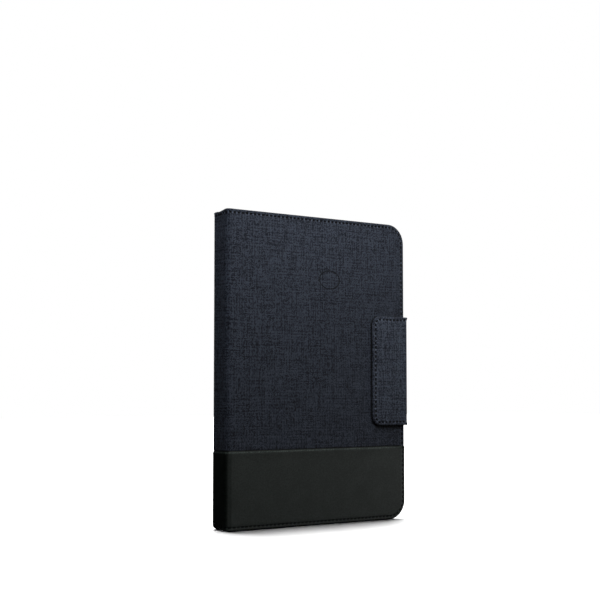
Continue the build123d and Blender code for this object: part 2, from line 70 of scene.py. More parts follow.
def box_mm(node):
    """The lowest and highest corners of a CAD node, in millimetres."""
    low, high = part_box(node)
    return low / MM, high / MM


# Measures taken from the CAD model
X_LEFT = box_mm("spine_fabric")[0].x
X_RIGHT = box_mm("front_fabric")[1].x
HALF_DEPTH = box_mm("back_fabric")[1].y
HEIGHT = box_mm("front_fabric")[1].z
BAND = box_mm("front_leather")[1].z
SPINE_HALF = box_mm("spine_board")[1].y
FOLD = HALF_DEPTH - SPINE_HALF
LINING_DEPTH = HALF_DEPTH - box_mm("back_lining")[0].y
BOARD_DEPTH = HALF_DEPTH - box_mm("back_board")[0].y
LINING_INSET = box_mm("spine_lining")[0].z
TAB_LOW, TAB_HIGH = (corner.z for corner in box_mm("tab_side_skin"))
X_TAB = box_mm("tab_side_skin")[1].x
TAB_HALF = box_mm("tab_side_skin")[1].y
TAB_FOLD = TAB_HALF - box_mm("tab_side_stiffener")[1].y
TAB_THICKNESS = box_mm("tab_flap_lining")[1].y + TAB_HALF
FLAP_X = box_mm("tab_flap_skin")[0].x
ROOT_X = box_mm("tab_root_skin")[0].x
LEG_LOW, LEG_HIGH = box_mm("kickstand_fabric")

# Measures that the CAD model leaves to the looks
COVER_CORNER = 17.5
TAB_CORNER = 8.5
LEG_CORNER = 6.0
NOTCH_RADIUS = 8.0
NOTCH_LIP = 2.0
CLOTH_SUNK = 0.3
BAND_PROUD = 0.15
BAND_WIDER = 0.3
BAND_LAP = 3.0
LIP_CREST = 1.15
LIP_BEAD = 0.45
LIP_BEAD_WIDTH = 0.7
LIP_LAP = 0.68
LIP_LAP_WIDTH = 0.35
DITCH = 0.24
DITCH_WIDTH = 0.9
END_RISE = 3.2
FULLNESS = 0.5
FULLNESS_PLACE = 3.5
FULLNESS_WIDTH = 4.5
RING_PLACE = (9.5, 215.0)
RING_SIZE = (11.0, 8.0)
RING_GROOVE = 0.5
RING_DEPTH = 0.25
PRESSED_SHADE = 0.82
STITCH_PITCH = 4.1
STITCH_LENGTH = 2.1
STITCH_START = 1.6
THREAD_RADIUS = 0.4
THREAD_TAPER = 0.35
THREAD_FLAT = 0.8
THREAD_PROUD = 0.02
STITCH_DIP = 0.5
STITCH_SLANT = (4, 9)
STITCH_UNEVEN = (0.93, 1.05)
EDGE_STITCH = 3.1
TAB_STITCH = 2.9
YARN = 0.85
YARN_SWAY = 0.8
YARN_TONES = (2.88, 5.92)
FAR = 12.0


# Materials


class Value:
    """A node's output. Arithmetic on it adds Math nodes."""

    def __init__(self, nodes, socket):
        self.nodes, self.socket = nodes, socket

    def __add__(self, other):
        return self.nodes.math("ADD", self, other)

    def __radd__(self, other):
        return self.nodes.math("ADD", other, self)

    def __sub__(self, other):
        return self.nodes.math("SUBTRACT", self, other)

    def __rsub__(self, other):
        return self.nodes.math("SUBTRACT", other, self)

    def __mul__(self, other):
        return self.nodes.math("MULTIPLY", self, other)

    def __truediv__(self, other):
        return self.nodes.math("DIVIDE", self, other)

    def __mod__(self, other):
        return self.nodes.math("FLOORED_MODULO", self, other)

    def __floor__(self):
        return self.nodes.math("FLOOR", self)

    def __abs__(self):
        return self.nodes.math("ABSOLUTE", self)


class Nodes:
    """A node tree. What feeds a node is a number, a colour or another node's output."""

    def __init__(self, tree):
        self.tree = tree

    def feed(self, socket, value):
        if isinstance(value, Value):
            self.tree.links.new(value.socket, socket)
        else:
            socket.default_value = value

    def node(self, kind, feeds, output=0, **settings):
        made = self.tree.nodes.new("ShaderNode" + kind)
        for name, value in settings.items():
            setattr(made, name, value)
        for socket, value in feeds.items():
            self.feed(made.inputs[socket], value)
        return Value(self, made.outputs[output])

    def math(self, operation, *values):
        return self.node("Math", dict(enumerate(values)), operation=operation)

    def step(self, value, low, high, start=0.0, stop=1.0):
        """Goes smoothly from start to stop as value goes from low to high."""
        feeds = {"Value": value, "From Min": low, "From Max": high, "To Min": start, "To Max": stop}
        return self.node("MapRange", feeds, interpolation_type="SMOOTHSTEP")


class Shader(Nodes):
    """The nodes of one material. The sockets named are set on its surface."""

    def __init__(self, name, **sockets):
        self.material = bpy.data.materials.new(name)
        self.material.use_nodes = True
        super().__init__(self.material.node_tree)
        self.surface = self.tree.nodes["Principled BSDF"]
        for socket, value in sockets.items():
            self.surface.inputs[socket.replace("_", " ")].default_value = value

    def spot(self, x, y, z=0.0):
        return self.node("CombineXYZ", {0: x, 1: y, 2: z})

    def split(self, vector):
        made = self.tree.nodes.new("ShaderNodeSeparateXYZ")
        self.feed(made.inputs[0], vector)
        return [Value(self, socket) for socket in made.outputs]

    def scaled(self, vector, factor):
        return self.node("VectorMath", {0: vector, "Scale": factor}, operation="SCALE")

    def map_mm(self, layer):
        """A piece's map coordinates in millimetres."""
        return self.scaled(self.node("UVMap", {}, uv_map=layer), 1 / MM)

    def place_mm(self):
        """A rigid piece's own coordinates in millimetres."""
        return self.scaled(self.node("TexCoord", {}, output=3), 1 / MM)

    def noise(self, vector, scale=1.0, detail=2.0, roughness=0.5):
        feeds = {"Vector": vector, "Scale": scale, "Detail": detail, "Roughness": roughness}
        return self.node("TexNoise", feeds)

    def cells(self, vector, scale, feature="F1"):
        return self.node("TexVoronoi", {"Vector": vector, "Scale": scale}, feature=feature)

    def ripple(self, way):
        """Half waves, each as long as pi."""
        return abs(self.math("SINE", way))

    def blend(self, share, first, second):
        """Goes from the first colour to the second."""
        first, second = (c if isinstance(c, Value) else (*c, 1) for c in (first, second))
        return self.node("Mix", {0: share, 6: first, 7: second}, output=2, data_type="RGBA")

    def between(self, share, first, second):
        """Goes from the first number to the second."""
        return self.node("Mix", {0: share, 2: first, 3: second}, data_type="FLOAT")

    def painted_crevice_shade(self, reach_mm, darkest):
        """Painted shade: darker where another surface stands close by."""
        feeds = {"Distance": reach_mm * MM}
        open_share = self.node("AmbientOcclusion", feeds, output=1, samples=8)
        return self.step(open_share, 0.42, 0.88, darkest, 1.0)

    def raised(self, height, distance_mm):
        """Feeds the surface a bump of that height in millimetres."""
        feeds = {"Height": height, "Distance": distance_mm * MM, "Strength": 1.0}
        self.feed(self.surface.inputs["Normal"], self.node("Bump", feeds))

    def finish(self, colour, roughness):
        self.feed(self.surface.inputs["Base Color"], colour)
        self.feed(self.surface.inputs["Roughness"], roughness)
        return self.material


def stitch_marks(shader):
    """The way from the edge, and masks for where each stitch sinks in, where the sheet puckers between
    stitches and where it is pressed in. The materials paint shade where a stitch sinks in and where the
    cloth is pressed in, and a painted highlight on the puckered sheet.
    """
    from_edge, way, _ = shader.split(shader.map_mm("edge"))
    off_line = abs(from_edge - EDGE_STITCH)
    phase = shader.math("PINGPONG", way - STITCH_START, STITCH_PITCH / 2)
    stitch_sink_shade = shader.step(off_line, 0.65, 1.1, 1.0, 0.0) * shader.step(phase, 1.1, 1.4, 1.0, 0.0)
    pucker_highlight = shader.step(off_line, 0.7, 1.5, 1.0, 0.0) * shader.step(phase, 1.3, 1.7)
    pressed = shader.step(from_edge, FAR - 0.5, FAR - 0.1) * shader.step(way, 0.08, 0.22)
    return from_edge, stitch_sink_shade, pucker_highlight, pressed


def woven_fabric(name, dark, light):
    """A heathered plain weave: each yarn has its own tone, with slubs that run along it both ways."""
    shader = Shader(name, Specular_IOR_Level=0.12, Sheen_Weight=0.04, Sheen_Roughness=0.5)
    u, v, _ = shader.split(shader.map_mm("cloth"))
    u = u + shader.noise(shader.spot(u, v), scale=0.09, detail=1) * YARN_SWAY
    v = v + shader.noise(shader.spot(v, u, 7.0), scale=0.09, detail=1) * YARN_SWAY
    across, along = u / YARN, v / YARN
    warp, weft = math.floor(across), math.floor(along)
    warp_tone = shader.noise(shader.spot(warp * 1.37, v * 0.05, 3.1), detail=1)
    weft_tone = shader.noise(shader.spot(u * 0.05, weft * 1.37, 9.4), detail=1)
    crossing = shader.node("TexWhiteNoise", {"Vector": shader.spot(warp, weft)})
    cloud = shader.noise(shader.spot(u, v, 2.0), scale=0.03)
    tone = warp_tone * 3.0 + weft_tone * 2.4 + crossing * 2.3 + cloud * 0.4
    tone = shader.step(tone + warp % 3.0 * 0.22 + weft % 3.0 * 0.22, *YARN_TONES)
    fibre = shader.noise(shader.spot(u, v, 4.0), scale=7.0)
    over = (warp + weft) % 2.0
    ridge = shader.between(over, shader.ripple(across * math.pi), shader.ripple(along * math.pi))
    from_edge, stitch_sink_shade, pucker_highlight, pressed = stitch_marks(shader)
    # Painted shade: darker in the gaps between yarns, just inside the turned edge, in the pressed ring and
    # the ditch above the band, where each stitch sinks in and where another surface stands close by. Painted
    # highlight on the puckered cloth between stitches.
    shade = 0.72 + ridge * 0.28 + fibre * 0.18
    shade = shade * shader.step(from_edge, 1.0, 2.0, 0.84, 1.0) * (1.0 - pressed * PRESSED_SHADE)
    shade = shade * (1.0 - stitch_sink_shade * 0.9) * (1.0 + pucker_highlight * 0.75) * shader.painted_crevice_shade(3.2, 0.12)
    shader.raised(ridge + fibre * 0.35 + tone * 0.25 - stitch_sink_shade * 2.5, 0.11)
    colour = shader.scaled(shader.blend(tone, dark, light), shade)
    return shader.finish(colour, shader.step(ridge, 0.0, 1.0, 0.95, 0.78))


def leatherette(name, dark, light):
    """Fine-grained coated leather, with a soft sheen that the grain breaks up."""
    shader = Shader(
        name, Specular_IOR_Level=0.2, Specular_Tint=(0.9, 1.0, 0.95, 1),
        Coat_Weight=0.02, Coat_Roughness=0.3,
    )
    surface = shader.map_mm("cloth")
    _, height_up, _ = shader.split(surface)
    # Painted highlight along the crest of the band's folded top edge.
    fold_highlight = shader.step(abs(height_up - (BAND - LIP_CREST)), 0.2, 0.7, 1.0, 0.0)
    swirl = shader.node("TexNoise", {"Vector": surface, "Scale": 0.8}, output=1)
    warped = shader.node("VectorMath", {0: surface, 1: swirl}, operation="ADD")
    pebbles = shader.cells(warped, 1.35, feature="SMOOTH_F1")
    crease = shader.step(shader.cells(warped, 0.62, feature="DISTANCE_TO_EDGE"), 0.0, 0.14)
    pores = shader.noise(surface, scale=5.0)
    broad = shader.noise(surface, scale=0.06, detail=3)
    mottle = shader.noise(surface, scale=0.55, detail=3, roughness=0.65)
    from_edge, stitch_sink_shade, pucker_highlight, _ = stitch_marks(shader)
    tone = shader.step(broad * 0.4 + mottle * 0.6 + crease * 0.15, 0.5, 0.76)
    # Painted highlight: lighter along the very edge, and much lighter along the crest of the folded top
    # edge. Painted shade where each stitch sinks in and where another surface stands close by, and a painted
    # highlight on the puckered leather between stitches.
    shade = 1.0 + shader.step(from_edge, 0.2, 1.6, 1.0, 0.0) * 0.5 + fold_highlight * 5.0
    shade = shade * (1.0 - stitch_sink_shade * 0.96) * (1.0 + pucker_highlight * 0.9) * shader.painted_crevice_shade(2.0, 0.2)
    shader.raised(pebbles * -0.5 + crease * 0.35 + pores * 0.2 - stitch_sink_shade * 2.0, 0.06)
    rough = 0.28 + pores * 0.12 + mottle * 0.22 + stitch_sink_shade * 0.45
    return shader.finish(shader.scaled(shader.blend(tone, dark, light), shade), rough)


def microfibre(name, dark, light):
    """The short brushed pile of the lining."""
    shader = Shader(name, Specular_IOR_Level=0.15, Sheen_Weight=0.2, Sheen_Roughness=0.4)
    surface = shader.map_mm("cloth")
    u, v, _ = shader.split(surface)
    fibre = shader.noise(shader.spot(u * 2.4, v * 5.5), detail=3)
    brushed = shader.noise(shader.spot(u * 0.05, v * 0.02))
    patch = shader.noise(surface, scale=0.4, detail=3)
    tone = shader.step(fibre * 0.6 + brushed * 0.9 + patch * 0.3, 0.65, 1.15)
    shader.raised(fibre + patch * 0.5, 0.09)
    return shader.finish(shader.blend(tone, dark, light), 0.92)


def moulded_plastic(name, dark, light, roughness, texture=1.0):
    """Moulded plastic with a fine spark-eroded texture, a little mottled and rubbed."""
    shader = Shader(name, Specular_IOR_Level=0.45)
    place = shader.place_mm()
    grain = shader.noise(place, scale=3.4, detail=3)
    pits = shader.cells(place, 2.4, feature="SMOOTH_F1")
    broad = shader.noise(place, scale=0.07, detail=3)
    rubbed = shader.step(shader.noise(place, scale=0.35, detail=4, roughness=0.65), 0.5, 0.72)
    tone = shader.step(grain * 0.5 + broad * 0.7, 0.4, 0.8)
    shader.raised(grain - pits * 0.6, 0.03 * texture)
    return shader.finish(shader.blend(tone, dark, light), roughness + grain * 0.1 - rubbed * 0.08)


def brushed_metal(name, dark, light, roughness=0.32):
    """Rolled or plated metal with fine lines along Z."""
    shader = Shader(name, Metallic=1.0)
    x, y, z = shader.split(shader.place_mm())
    lines = shader.noise(shader.spot(x * 9.0, y * 9.0, z * 0.25))
    spots = shader.noise(shader.spot(x, y, z), scale=0.5, detail=3)
    shader.raised(lines, 0.01)
    return shader.finish(shader.blend(lines * 0.6 + spots * 0.4, dark, light), roughness + spots * 0.15)


def pressed_card(name, dark, light):
    """Grey stiffening board: pressed fibres and flecks."""
    shader = Shader(name, Specular_IOR_Level=0.15)
    place = shader.place_mm()
    fibres = shader.noise(place, scale=1.6, detail=4, roughness=0.7)
    flecks = shader.step(shader.noise(place, scale=2.6, detail=1), 0.66, 0.74)
    shader.raised(fibres, 0.06)
    return shader.finish(shader.blend(shader.step(fibres, 0.35, 0.65), dark, light), 0.88 - flecks * 0.1)


def rubber(name, dark, light, see_through=0.0):
    """Silicone rubber, slightly cloudy."""
    shader = Shader(name, Specular_IOR_Level=0.35, Transmission_Weight=see_through, IOR=1.41)
    place = shader.place_mm()
    cloudy = shader.noise(place, scale=0.4, detail=3)
    skin_grain = shader.noise(place, scale=4.0)
    shader.raised(skin_grain, 0.02)
    return shader.finish(shader.blend(shader.step(cloudy, 0.3, 0.7), dark, light), 0.5 + skin_grain * 0.15)


def circuit_laminate(name):
    """Green solder mask over copper tracks, with tinned pads."""
    shader = Shader(name, Specular_IOR_Level=0.5)
    x, _, z = shader.split(shader.place_mm())
    lane = shader.math("PINGPONG", x + shader.math("SNAP", z, 4.0) * 0.37, 0.9)
    track = shader.step(lane, 0.3, 0.4)
    pad_x, pad_z = (shader.step(shader.math("PINGPONG", way, 1.6), 1.15, 1.25) for way in (x, z))
    pad = pad_x * pad_z
    mask = shader.blend(track, (0.004, 0.05, 0.02), (0.008, 0.11, 0.04))
    colour = shader.blend(pad, mask, (0.6, 0.6, 0.56))
    shader.raised(track + pad, 0.03)
    return shader.finish(colour, shader.step(pad, 0.0, 1.0, 0.35, 0.25))


def mottled(
    name, first, second, scale, detail, window=None, spread=0.5, bump=0.0, rough=0.5, uneven=0.0, **sockets
):
    """A plain material with one noise in its colour, its bump in millimetres and its roughness."""
    shader = Shader(name, **sockets)
    mottle = shader.noise(shader.place_mm(), scale, detail, spread)
    if bump:
        shader.raised(mottle, bump)
    share = shader.step(mottle, *window) if window else mottle
    return shader.finish(shader.blend(share, first, second), rough + mottle * uneven if uneven else rough)


def elastic_webbing(name, dark, light):
    """Ribbed knitted elastic: rubber cords along it, and loops of yarn across them."""
    shader = Shader(name, Specular_IOR_Level=0.2, Sheen_Weight=0.15)
    u, v, _ = shader.split(shader.map_mm("cloth"))
    cords = shader.ripple(v * (math.pi / 0.8))
    loops = shader.ripple(u * (math.pi / 0.9))
    fuzz = shader.noise(shader.spot(u, v), scale=5.0)
    tone = shader.step(cords * 0.5 + loops * 0.3 + fuzz * 0.4, 0.3, 1.0)
    shader.raised(cords + loops + fuzz, 0.12)
    return shader.finish(shader.blend(tone, dark, light), 0.85)


def sewing_thread(name, dark, light):
    """Twisted thread: fine slanting plies along each stitch."""
    shader = Shader(name, Specular_IOR_Level=0.02)
    u, v, _ = shader.split(shader.map_mm("cloth"))
    twist = shader.math("SINE", (u + v * 0.9) * 9.0)
    fuzz = shader.noise(shader.spot(u, v), scale=6.0)
    shader.raised(twist + fuzz, 0.05)
    return shader.finish(shader.blend(twist * 0.3 + fuzz, dark, light), 0.62)


CLOTH = woven_fabric("woven_cloth", (0.0045, 0.0056, 0.0109), (0.0395, 0.049, 0.0695))
TAB_CLOTH = woven_fabric("tab_cloth", (0.0075, 0.0093, 0.017), (0.0655, 0.08, 0.11))
LEATHER = leatherette("grained_leather", (0.0016, 0.0026, 0.0022), (0.0098, 0.0124, 0.0112))
LINING = microfibre("lining_pile", (0.020, 0.021, 0.024), (0.046, 0.048, 0.054))
THREAD = sewing_thread("sewing_thread", (0.0008, 0.001, 0.0015), (0.0035, 0.004, 0.006))
PLASTIC = moulded_plastic("holder_plastic", (0.02, 0.02, 0.021), (0.036, 0.036, 0.037), 0.42)
CASING = moulded_plastic("casing_plastic", (0.016, 0.016, 0.017), (0.028, 0.028, 0.029), 0.5, texture=1.6)
KEYCAP = moulded_plastic("keycap_plastic", (0.026, 0.026, 0.028), (0.042, 0.042, 0.045), 0.46, texture=0.8)
STEEL = brushed_metal("plated_steel", (0.45, 0.45, 0.46), (0.62, 0.62, 0.63))
NICKEL = brushed_metal("nickel_plate", (0.5, 0.48, 0.45), (0.66, 0.64, 0.6), roughness=0.2)
CARD = pressed_card("grey_card", (0.10, 0.10, 0.095), (0.19, 0.185, 0.17))
FILM = rubber("key_film", (0.05, 0.05, 0.055), (0.09, 0.09, 0.1))
SILICONE = rubber("silicone", (0.16, 0.17, 0.18), (0.26, 0.27, 0.28), see_through=0.2)
CIRCUIT = circuit_laminate("circuit_laminate")
ELASTIC = elastic_webbing("elastic_webbing", (0.008, 0.008, 0.009), (0.03, 0.03, 0.032))
# The crinkled silver foil of a pouch cell
FOIL = mottled(
    "cell_foil", (0.42, 0.43, 0.45), (0.62, 0.63, 0.65), 0.5, 4, (0.35, 0.65), 0.6, bump=0.25, rough=0.3,
    uneven=0.2, Metallic=0.8,
)
# A milky light pipe, a little uneven inside
LIGHT = mottled(
    "light_window", (0.45, 0.5, 0.52), (0.75, 0.8, 0.82), 1.2, 2, bump=0.02, rough=0.3, uneven=0.1,
    Specular_IOR_Level=0.5, Transmission_Weight=0.3,
)
# Pad-printed legends, thin in places
PRINT = mottled(
    "key_print", (0.62, 0.64, 0.66), (0.4, 0.42, 0.44), 2.2, 3, (0.4, 0.75), rough=0.45, uneven=0.2,
    Specular_IOR_Level=0.3,
)
FLOOR = mottled(
    "pale_floor", (0.86, 0.86, 0.86), (0.9, 0.9, 0.9), 0.02, 2, (0.3, 0.7), rough=0.7, Specular_IOR_Level=0.2
)


# Walls and their edges


class Wrap:
    """A wall along one end of the case, round a fold and along a face.

    A place on it is s, the way along its outside from the end's middle, z, and the depth inwards."""

    def __init__(self, x_outside, towards, flat, fold, side):
        self.x_outside, self.towards, self.flat, self.fold, self.side = x_outside, towards, flat, fold, side
        self.folded = flat + math.pi / 2 * fold

    def point(self, s, z, depth):
        turned = min(max((s - self.flat) / self.fold, 0.0), math.pi / 2)
        past = max(s - self.folded, 0.0)
        radius = self.fold - depth
        x = self.x_outside + self.towards * (self.fold - radius * math.cos(turned) + past)
        y = min(s, self.flat) + radius * math.sin(turned)
        return Vector((x, self.side * y, z))

    def way_to(self, x):
        """The s of a place on the face."""
        return self.folded + abs(x - self.x_outside) - self.fold

    def fold_ways(self):
        return spaced(self.flat, self.folded, self.fold * math.pi / 2 / 10)

    def ways(self, stop, step):
        """Places along the wall, close together in the fold."""
        return spaced(0.0, self.flat, step)[:-1] + self.fold_ways() + spaced(self.folded, stop, step)[1:]

    def hinge(self, z, depth):
        return [self.point(s, z, depth) * MM for s in (self.flat, self.folded)]


def spaced(start, stop, step):
    """Places from start to stop, both included, at most step apart."""
    count = max(1, math.ceil(abs(stop - start) / step))
    return [start + (stop - start) * i / count for i in range(count + 1)]


class Edge:
    """A line along a sheet's edge, kept as (centre, outward direction, radius), so that it can be inset."""

    def __init__(self, stations, stitch_inset=EDGE_STITCH, start=0.0):
        self.stations = []
        for centre, outwards, radius in stations:
            station = (Vector(centre), Vector(outwards), radius)
            if not self.stations or (station[0] - self.stations[-1][0]).length + (
                station[1] - self.stations[-1][1]
            ).length > 1e-6:
                self.stations.append(station)
        self.stitch_line = line = self.line(stitch_inset)
        self.along = [start]
        for here, there in zip(line, line[1:]):
            self.along.append(self.along[-1] + (there - here).length)

    def line(self, inset):
        return [centre + outwards * (radius - inset) for centre, outwards, radius in self.stations]

    def way_down_to(self, z):
        """How far along the line it first comes down to a height."""
        line = self.line(0.0)
        k = next(i for i, spot in enumerate(line) if spot.y <= z)
        share = (line[k - 1].y - z) / (line[k - 1].y - line[k].y)
        return self.along[k - 1] + share * (self.along[k] - self.along[k - 1])


def arc(centre, radius, start, stop, steps=9):
    """Stations round a corner, between two directions in degrees. A hollow corner has a negative radius."""
    for angle in spaced(math.radians(start), math.radians(stop), abs(math.radians(stop - start)) / steps):
        yield centre, (math.cos(angle), math.sin(angle)), radius


def no_lift(s):
    return 0.0


def free_edge(ways, stop, low, high, radius, top=True, bottom=True, uprights=(), lift=no_lift):
    """The edge along the top, round the far end and back along the bottom, or a part of that.

    lift is how far the bottom stands up, and half of it is how far the top comes down."""
    ways = [s for s in ways if s < stop - radius - 1] + [stop - radius]
    if top:
        for s in ways:
            yield (s, high - radius - lift(s) / 2), (0, 1), radius
        yield from arc((stop - radius, high - radius), radius, 90, 0)
    far_high = high - radius if top else high
    far_low = low + radius if bottom else low
    down = sorted({*spaced(far_high, far_low, 3.0), *(z for z in uprights if far_low < z < far_high)})
    for z in reversed(down):
        yield (stop - radius, z), (1, 0), radius
    if bottom:
        yield from arc((stop - radius, low + radius), radius, 0, -90)
        for s in reversed(ways):
            yield (s, low + radius + lift(s)), (0, -1), radius


# How a turned edge goes, as (inset, depth): from its end on the back, round the edge and over the stitching
CLOTH_TURN = (
    (2.4, 2.72), (0.9, 2.72), (0.42, 2.66), (0.12, 2.4), (0.0, 1.9), (0.0, 1.35), (0.08, 0.95), (0.3, 0.6),
    (0.7, 0.38), (1.3, 0.28), (2.0, 0.27), (2.5, 0.33), (2.85, 0.45), (3.1, 0.5), (3.35, 0.45), (3.8, 0.33),
    (4.6, 0.29), (6.0, CLOTH_SUNK),
)
BAND_TURN = (
    (2.4, 2.86), (0.9, 2.86), (0.4, 2.78), (0.1, 2.5), (0.0, 1.9), (0.0, 1.2), (0.07, 0.75), (0.28, 0.3),
    (0.7, 0.0), (1.3, -0.14), (2.0, -0.16), (2.5, -0.1), (2.85, 0.03), (3.1, 0.08), (3.35, 0.03),
    (3.8, -0.1), (4.6, -0.15), (6.0, -BAND_PROUD),
)
TAB_TURN = (
    (2.2, 2.0), (0.8, 2.0), (0.3, 1.88), (0.05, 1.55), (0.0, 1.1), (0.05, 0.68), (0.22, 0.32), (0.55, 0.08),
    (1.1, -0.05), (1.8, -0.05), (2.3, 0.02), (2.65, 0.15), (2.9, 0.2), (3.15, 0.15), (3.6, 0.03),
    (4.4, 0.0), (6.0, 0.0),
)
LINING_TURN = ((0.0, 2.7), (0.02, 2.95), (0.15, 3.1), (0.5, 3.17), (1.2, LINING_DEPTH - 0.02))


def level(s, z):
    """A wall with no relief."""
    return 0.0


def inside(points, loop):
    """For each point, whether it lies inside the loop."""
    x, y = points[:, 0][:, None], points[:, 1][:, None]
    ax, ay = loop[:, 0], loop[:, 1]
    bx, by = np.roll(ax, -1), np.roll(ay, -1)
    crossed = (ay > y) != (by > y)
    at = ax + (y - ay) * (bx - ax) / np.where(by == ay, 1e-12, by - ay)
    return (crossed & (x < at)).sum(1) % 2 == 1


def fill(loops, columns, rows, more=(), margin=1.5):
    """Points and triangles inside the first loop and outside the others, with a grid of points between."""
    outlines = [np.array([tuple(p) for p in loop]) for loop in loops]
    points = [Vector(p) for outline in outlines for p in outline]
    edges, first = [], 0
    for outline in outlines:
        edges += [(first + i, first + (i + 1) % len(outline)) for i in range(len(outline))]
        first += len(outline)
    grid = np.array([(s, z) for s in columns for z in rows] + list(more), float).reshape(-1, 2)
    border = np.concatenate(outlines)
    keep = inside(grid, outlines[0])
    for hole in outlines[1:]:
        keep &= ~inside(grid, hole)
    for i in np.flatnonzero(keep):
        keep[i] = np.min(np.hypot(*(border - grid[i]).T)) > margin
    points += [Vector(p) for p in grid[keep]]
    places, _, triangles, *_ = delaunay_2d_cdt(points, edges, [], 1, 1e-5)
    flat = np.array([tuple(p) for p in places])
    middles = np.array([flat[list(t)].mean(0) for t in triangles])
    keep = inside(middles, outlines[0])
    for hole in outlines[1:]:
        keep &= ~inside(middles, hole)
    kept = []
    for triangle, wanted in zip(triangles, keep):
        if wanted:
            a, b, c = (flat[i] for i in triangle)
            turn = (b[0] - a[0]) * (c[1] - a[1]) - (b[1] - a[1]) * (c[0] - a[0])
            if abs(turn) > 1e-9:
                kept.append(tuple(triangle) if turn > 0 else tuple(reversed(triangle)))
    return flat, kept


def put_in_scene(name, data):
    made = bpy.data.objects.new(name, data)
    bpy.context.scene.collection.objects.link(made)
    return made


def build(name, corners, faces, material, flip=False):
    """Makes an object of corners, each (place, map coordinates, coordinates along its edge)."""
    if flip:
        faces = [tuple(reversed(face)) for face in faces]
    mesh = bpy.data.meshes.new(name)
    mesh.from_pydata([corner[0] * MM for corner in corners], [], faces)
    for number, layer_name in ((1, "cloth"), (2, "edge")):
        layer = mesh.uv_layers.new(name=layer_name)
        values = [corners[loop.vertex_index][number][k] * MM for loop in mesh.loops for k in (0, 1)]
        layer.data.foreach_set("uv", values)
    work = bmesh.new()
    work.from_mesh(mesh)
    bmesh.ops.remove_doubles(work, verts=work.verts, dist=0.002 * MM)
    bmesh.ops.delete(work, geom=[v for v in work.verts if not v.link_faces], context="VERTS")
    work.to_mesh(mesh)
    work.free()
    mesh.shade_smooth()
    mesh.materials.append(material)
    made = put_in_scene(name, mesh)
    return made


def close_up(faces, first, count, loops, inwards=False):
    """Joins loops of count corners, numbered from first, and closes both ends."""
    last = first + count * (loops - 1)
    for start in range(first, last, count):
        for j in range(count):
            a, b = start + j, start + (j + 1) % count
            faces.append((a, a + count, b + count, b) if inwards else (a, b, b + count, a + count))
    ends = range(first, first + count), range(last, last + count)
    ends = (ends[0], ends[1][::-1]) if inwards else (ends[0][::-1], ends[1])
    faces += [tuple(end) for end in ends]


def skin(
    name, wrap, edge, turn, closing, columns, rows, material,
    relief=level, inwards=False, holes=(), more=(),
):
    """A sheet over a wall, turned round its free edge. closing goes from the edge's end back to its start.

    Each hole is (edge, turn, closing) as well, with the edge's outward side in the hole."""
    corners, faces = [], []

    def put(s, z, depth, along):
        corners.append((wrap.point(s, z, depth + relief(s, z)), (wrap.side * s, z), along))
        return len(corners) - 1

    loops = []
    for rim, rim_turn, rim_closing in ((edge, turn, closing), *holes):
        rows_of = [
            [put(p.x, p.y, depth, (inset, way)) for p, way in zip(rim.line(inset), rim.along)]
            for inset, depth in rim_turn
        ]
        for near, far in zip(rows_of, rows_of[1:]):
            faces += [(near[i], far[i], far[i + 1], near[i + 1]) for i in range(len(near) - 1)]
        loops.append(rim.line(rim_turn[-1][0]) + [Vector(p) for p in rim_closing])
    base = turn[-1][1]
    flat, triangles = fill(loops, columns, rows, more)
    first = len(corners)
    for s, z in flat:
        put(s, z, base, (FAR, max(relief(s, z), 0.0)))
    faces += [tuple(first + i for i in triangle) for triangle in triangles]
    outwards = wrap.side * wrap.towards > 0
    return build(name, corners, faces, material, flip=outwards != inwards)


def hinged(piece, wrap, first_body, second_body, depth=0.0):
    """Bakes the piece's transform into its mesh; the ends of its wall's fold are worked out and left unused.
    """
    start, end = wrap.hinge(HEIGHT / 2, depth)
    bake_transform(piece)
    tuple(start)
    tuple(end)


def stretched(piece, width, height, *boards):
    """Takes a sheet's flat size in millimetres and the boards it lies over, and keeps nothing of them."""
    width * MM
    height * MM


# Case: spine and covers


def ears(wrap, low, high, proud, reach):
    """The bulge of the gathered turn-in at both ends of a fold."""
    middle = (wrap.flat + wrap.folded) / 2

    def relief(s, z):
        from_end = min(z - low, high - z)
        along = math.exp(-(((s - middle) / (wrap.fold * 0.8)) ** 2))
        return -proud * along * math.exp(-((max(from_end, 0.0) / reach) ** 2))

    return relief


def band_lip(s, z):
    """The band's folded top edge: a soft bead that rolls down on to the cloth."""
    below = BAND - z
    bead = -LIP_BEAD * math.exp(-(((below - LIP_CREST) / LIP_BEAD_WIDTH) ** 2))
    return bead + LIP_LAP * math.exp(-((below / LIP_LAP_WIDTH) ** 2)) if below < 4 else 0.0


def bottom_ears(wrap):
    """The band's own ears, its folded edge, and the fullness of the leather where it leaves the fold."""
    both = ears(wrap, 0.0, 2 * HEIGHT, 0.5, 2.2)

    def relief(s, z):
        off_crest = (s - wrap.folded - FULLNESS_PLACE) / FULLNESS_WIDTH
        return both(s, z) + band_lip(s, z) - FULLNESS * math.exp(-(off_crest ** 2))

    return relief


def top_ears(wrap):
    """The cloth's own ears, and the ditch that the band presses into it."""
    both = ears(wrap, -HEIGHT, HEIGHT, 0.7, 2.6)
    return lambda s, z: both(s, z) + DITCH * math.exp(-((max(z - BAND, 0.0) / DITCH_WIDTH) ** 2))


def smooth(value, low, high):
    """Goes smoothly from 0 to 1 as value goes from low to high."""
    share = min(max((value - low) / (high - low), 0.0), 1.0)
    return share * share * (3 - 2 * share)


def drawn_in(side):
    """How far the spine's bottom end is drawn up: most at the back fold, and nothing at the front cover."""
    turn = 1 if side == "back" else -1
    return lambda s: END_RISE * smooth(turn * s, -10.0, 5.0) * (1 - smooth(turn * s, 9.0, 16.5))


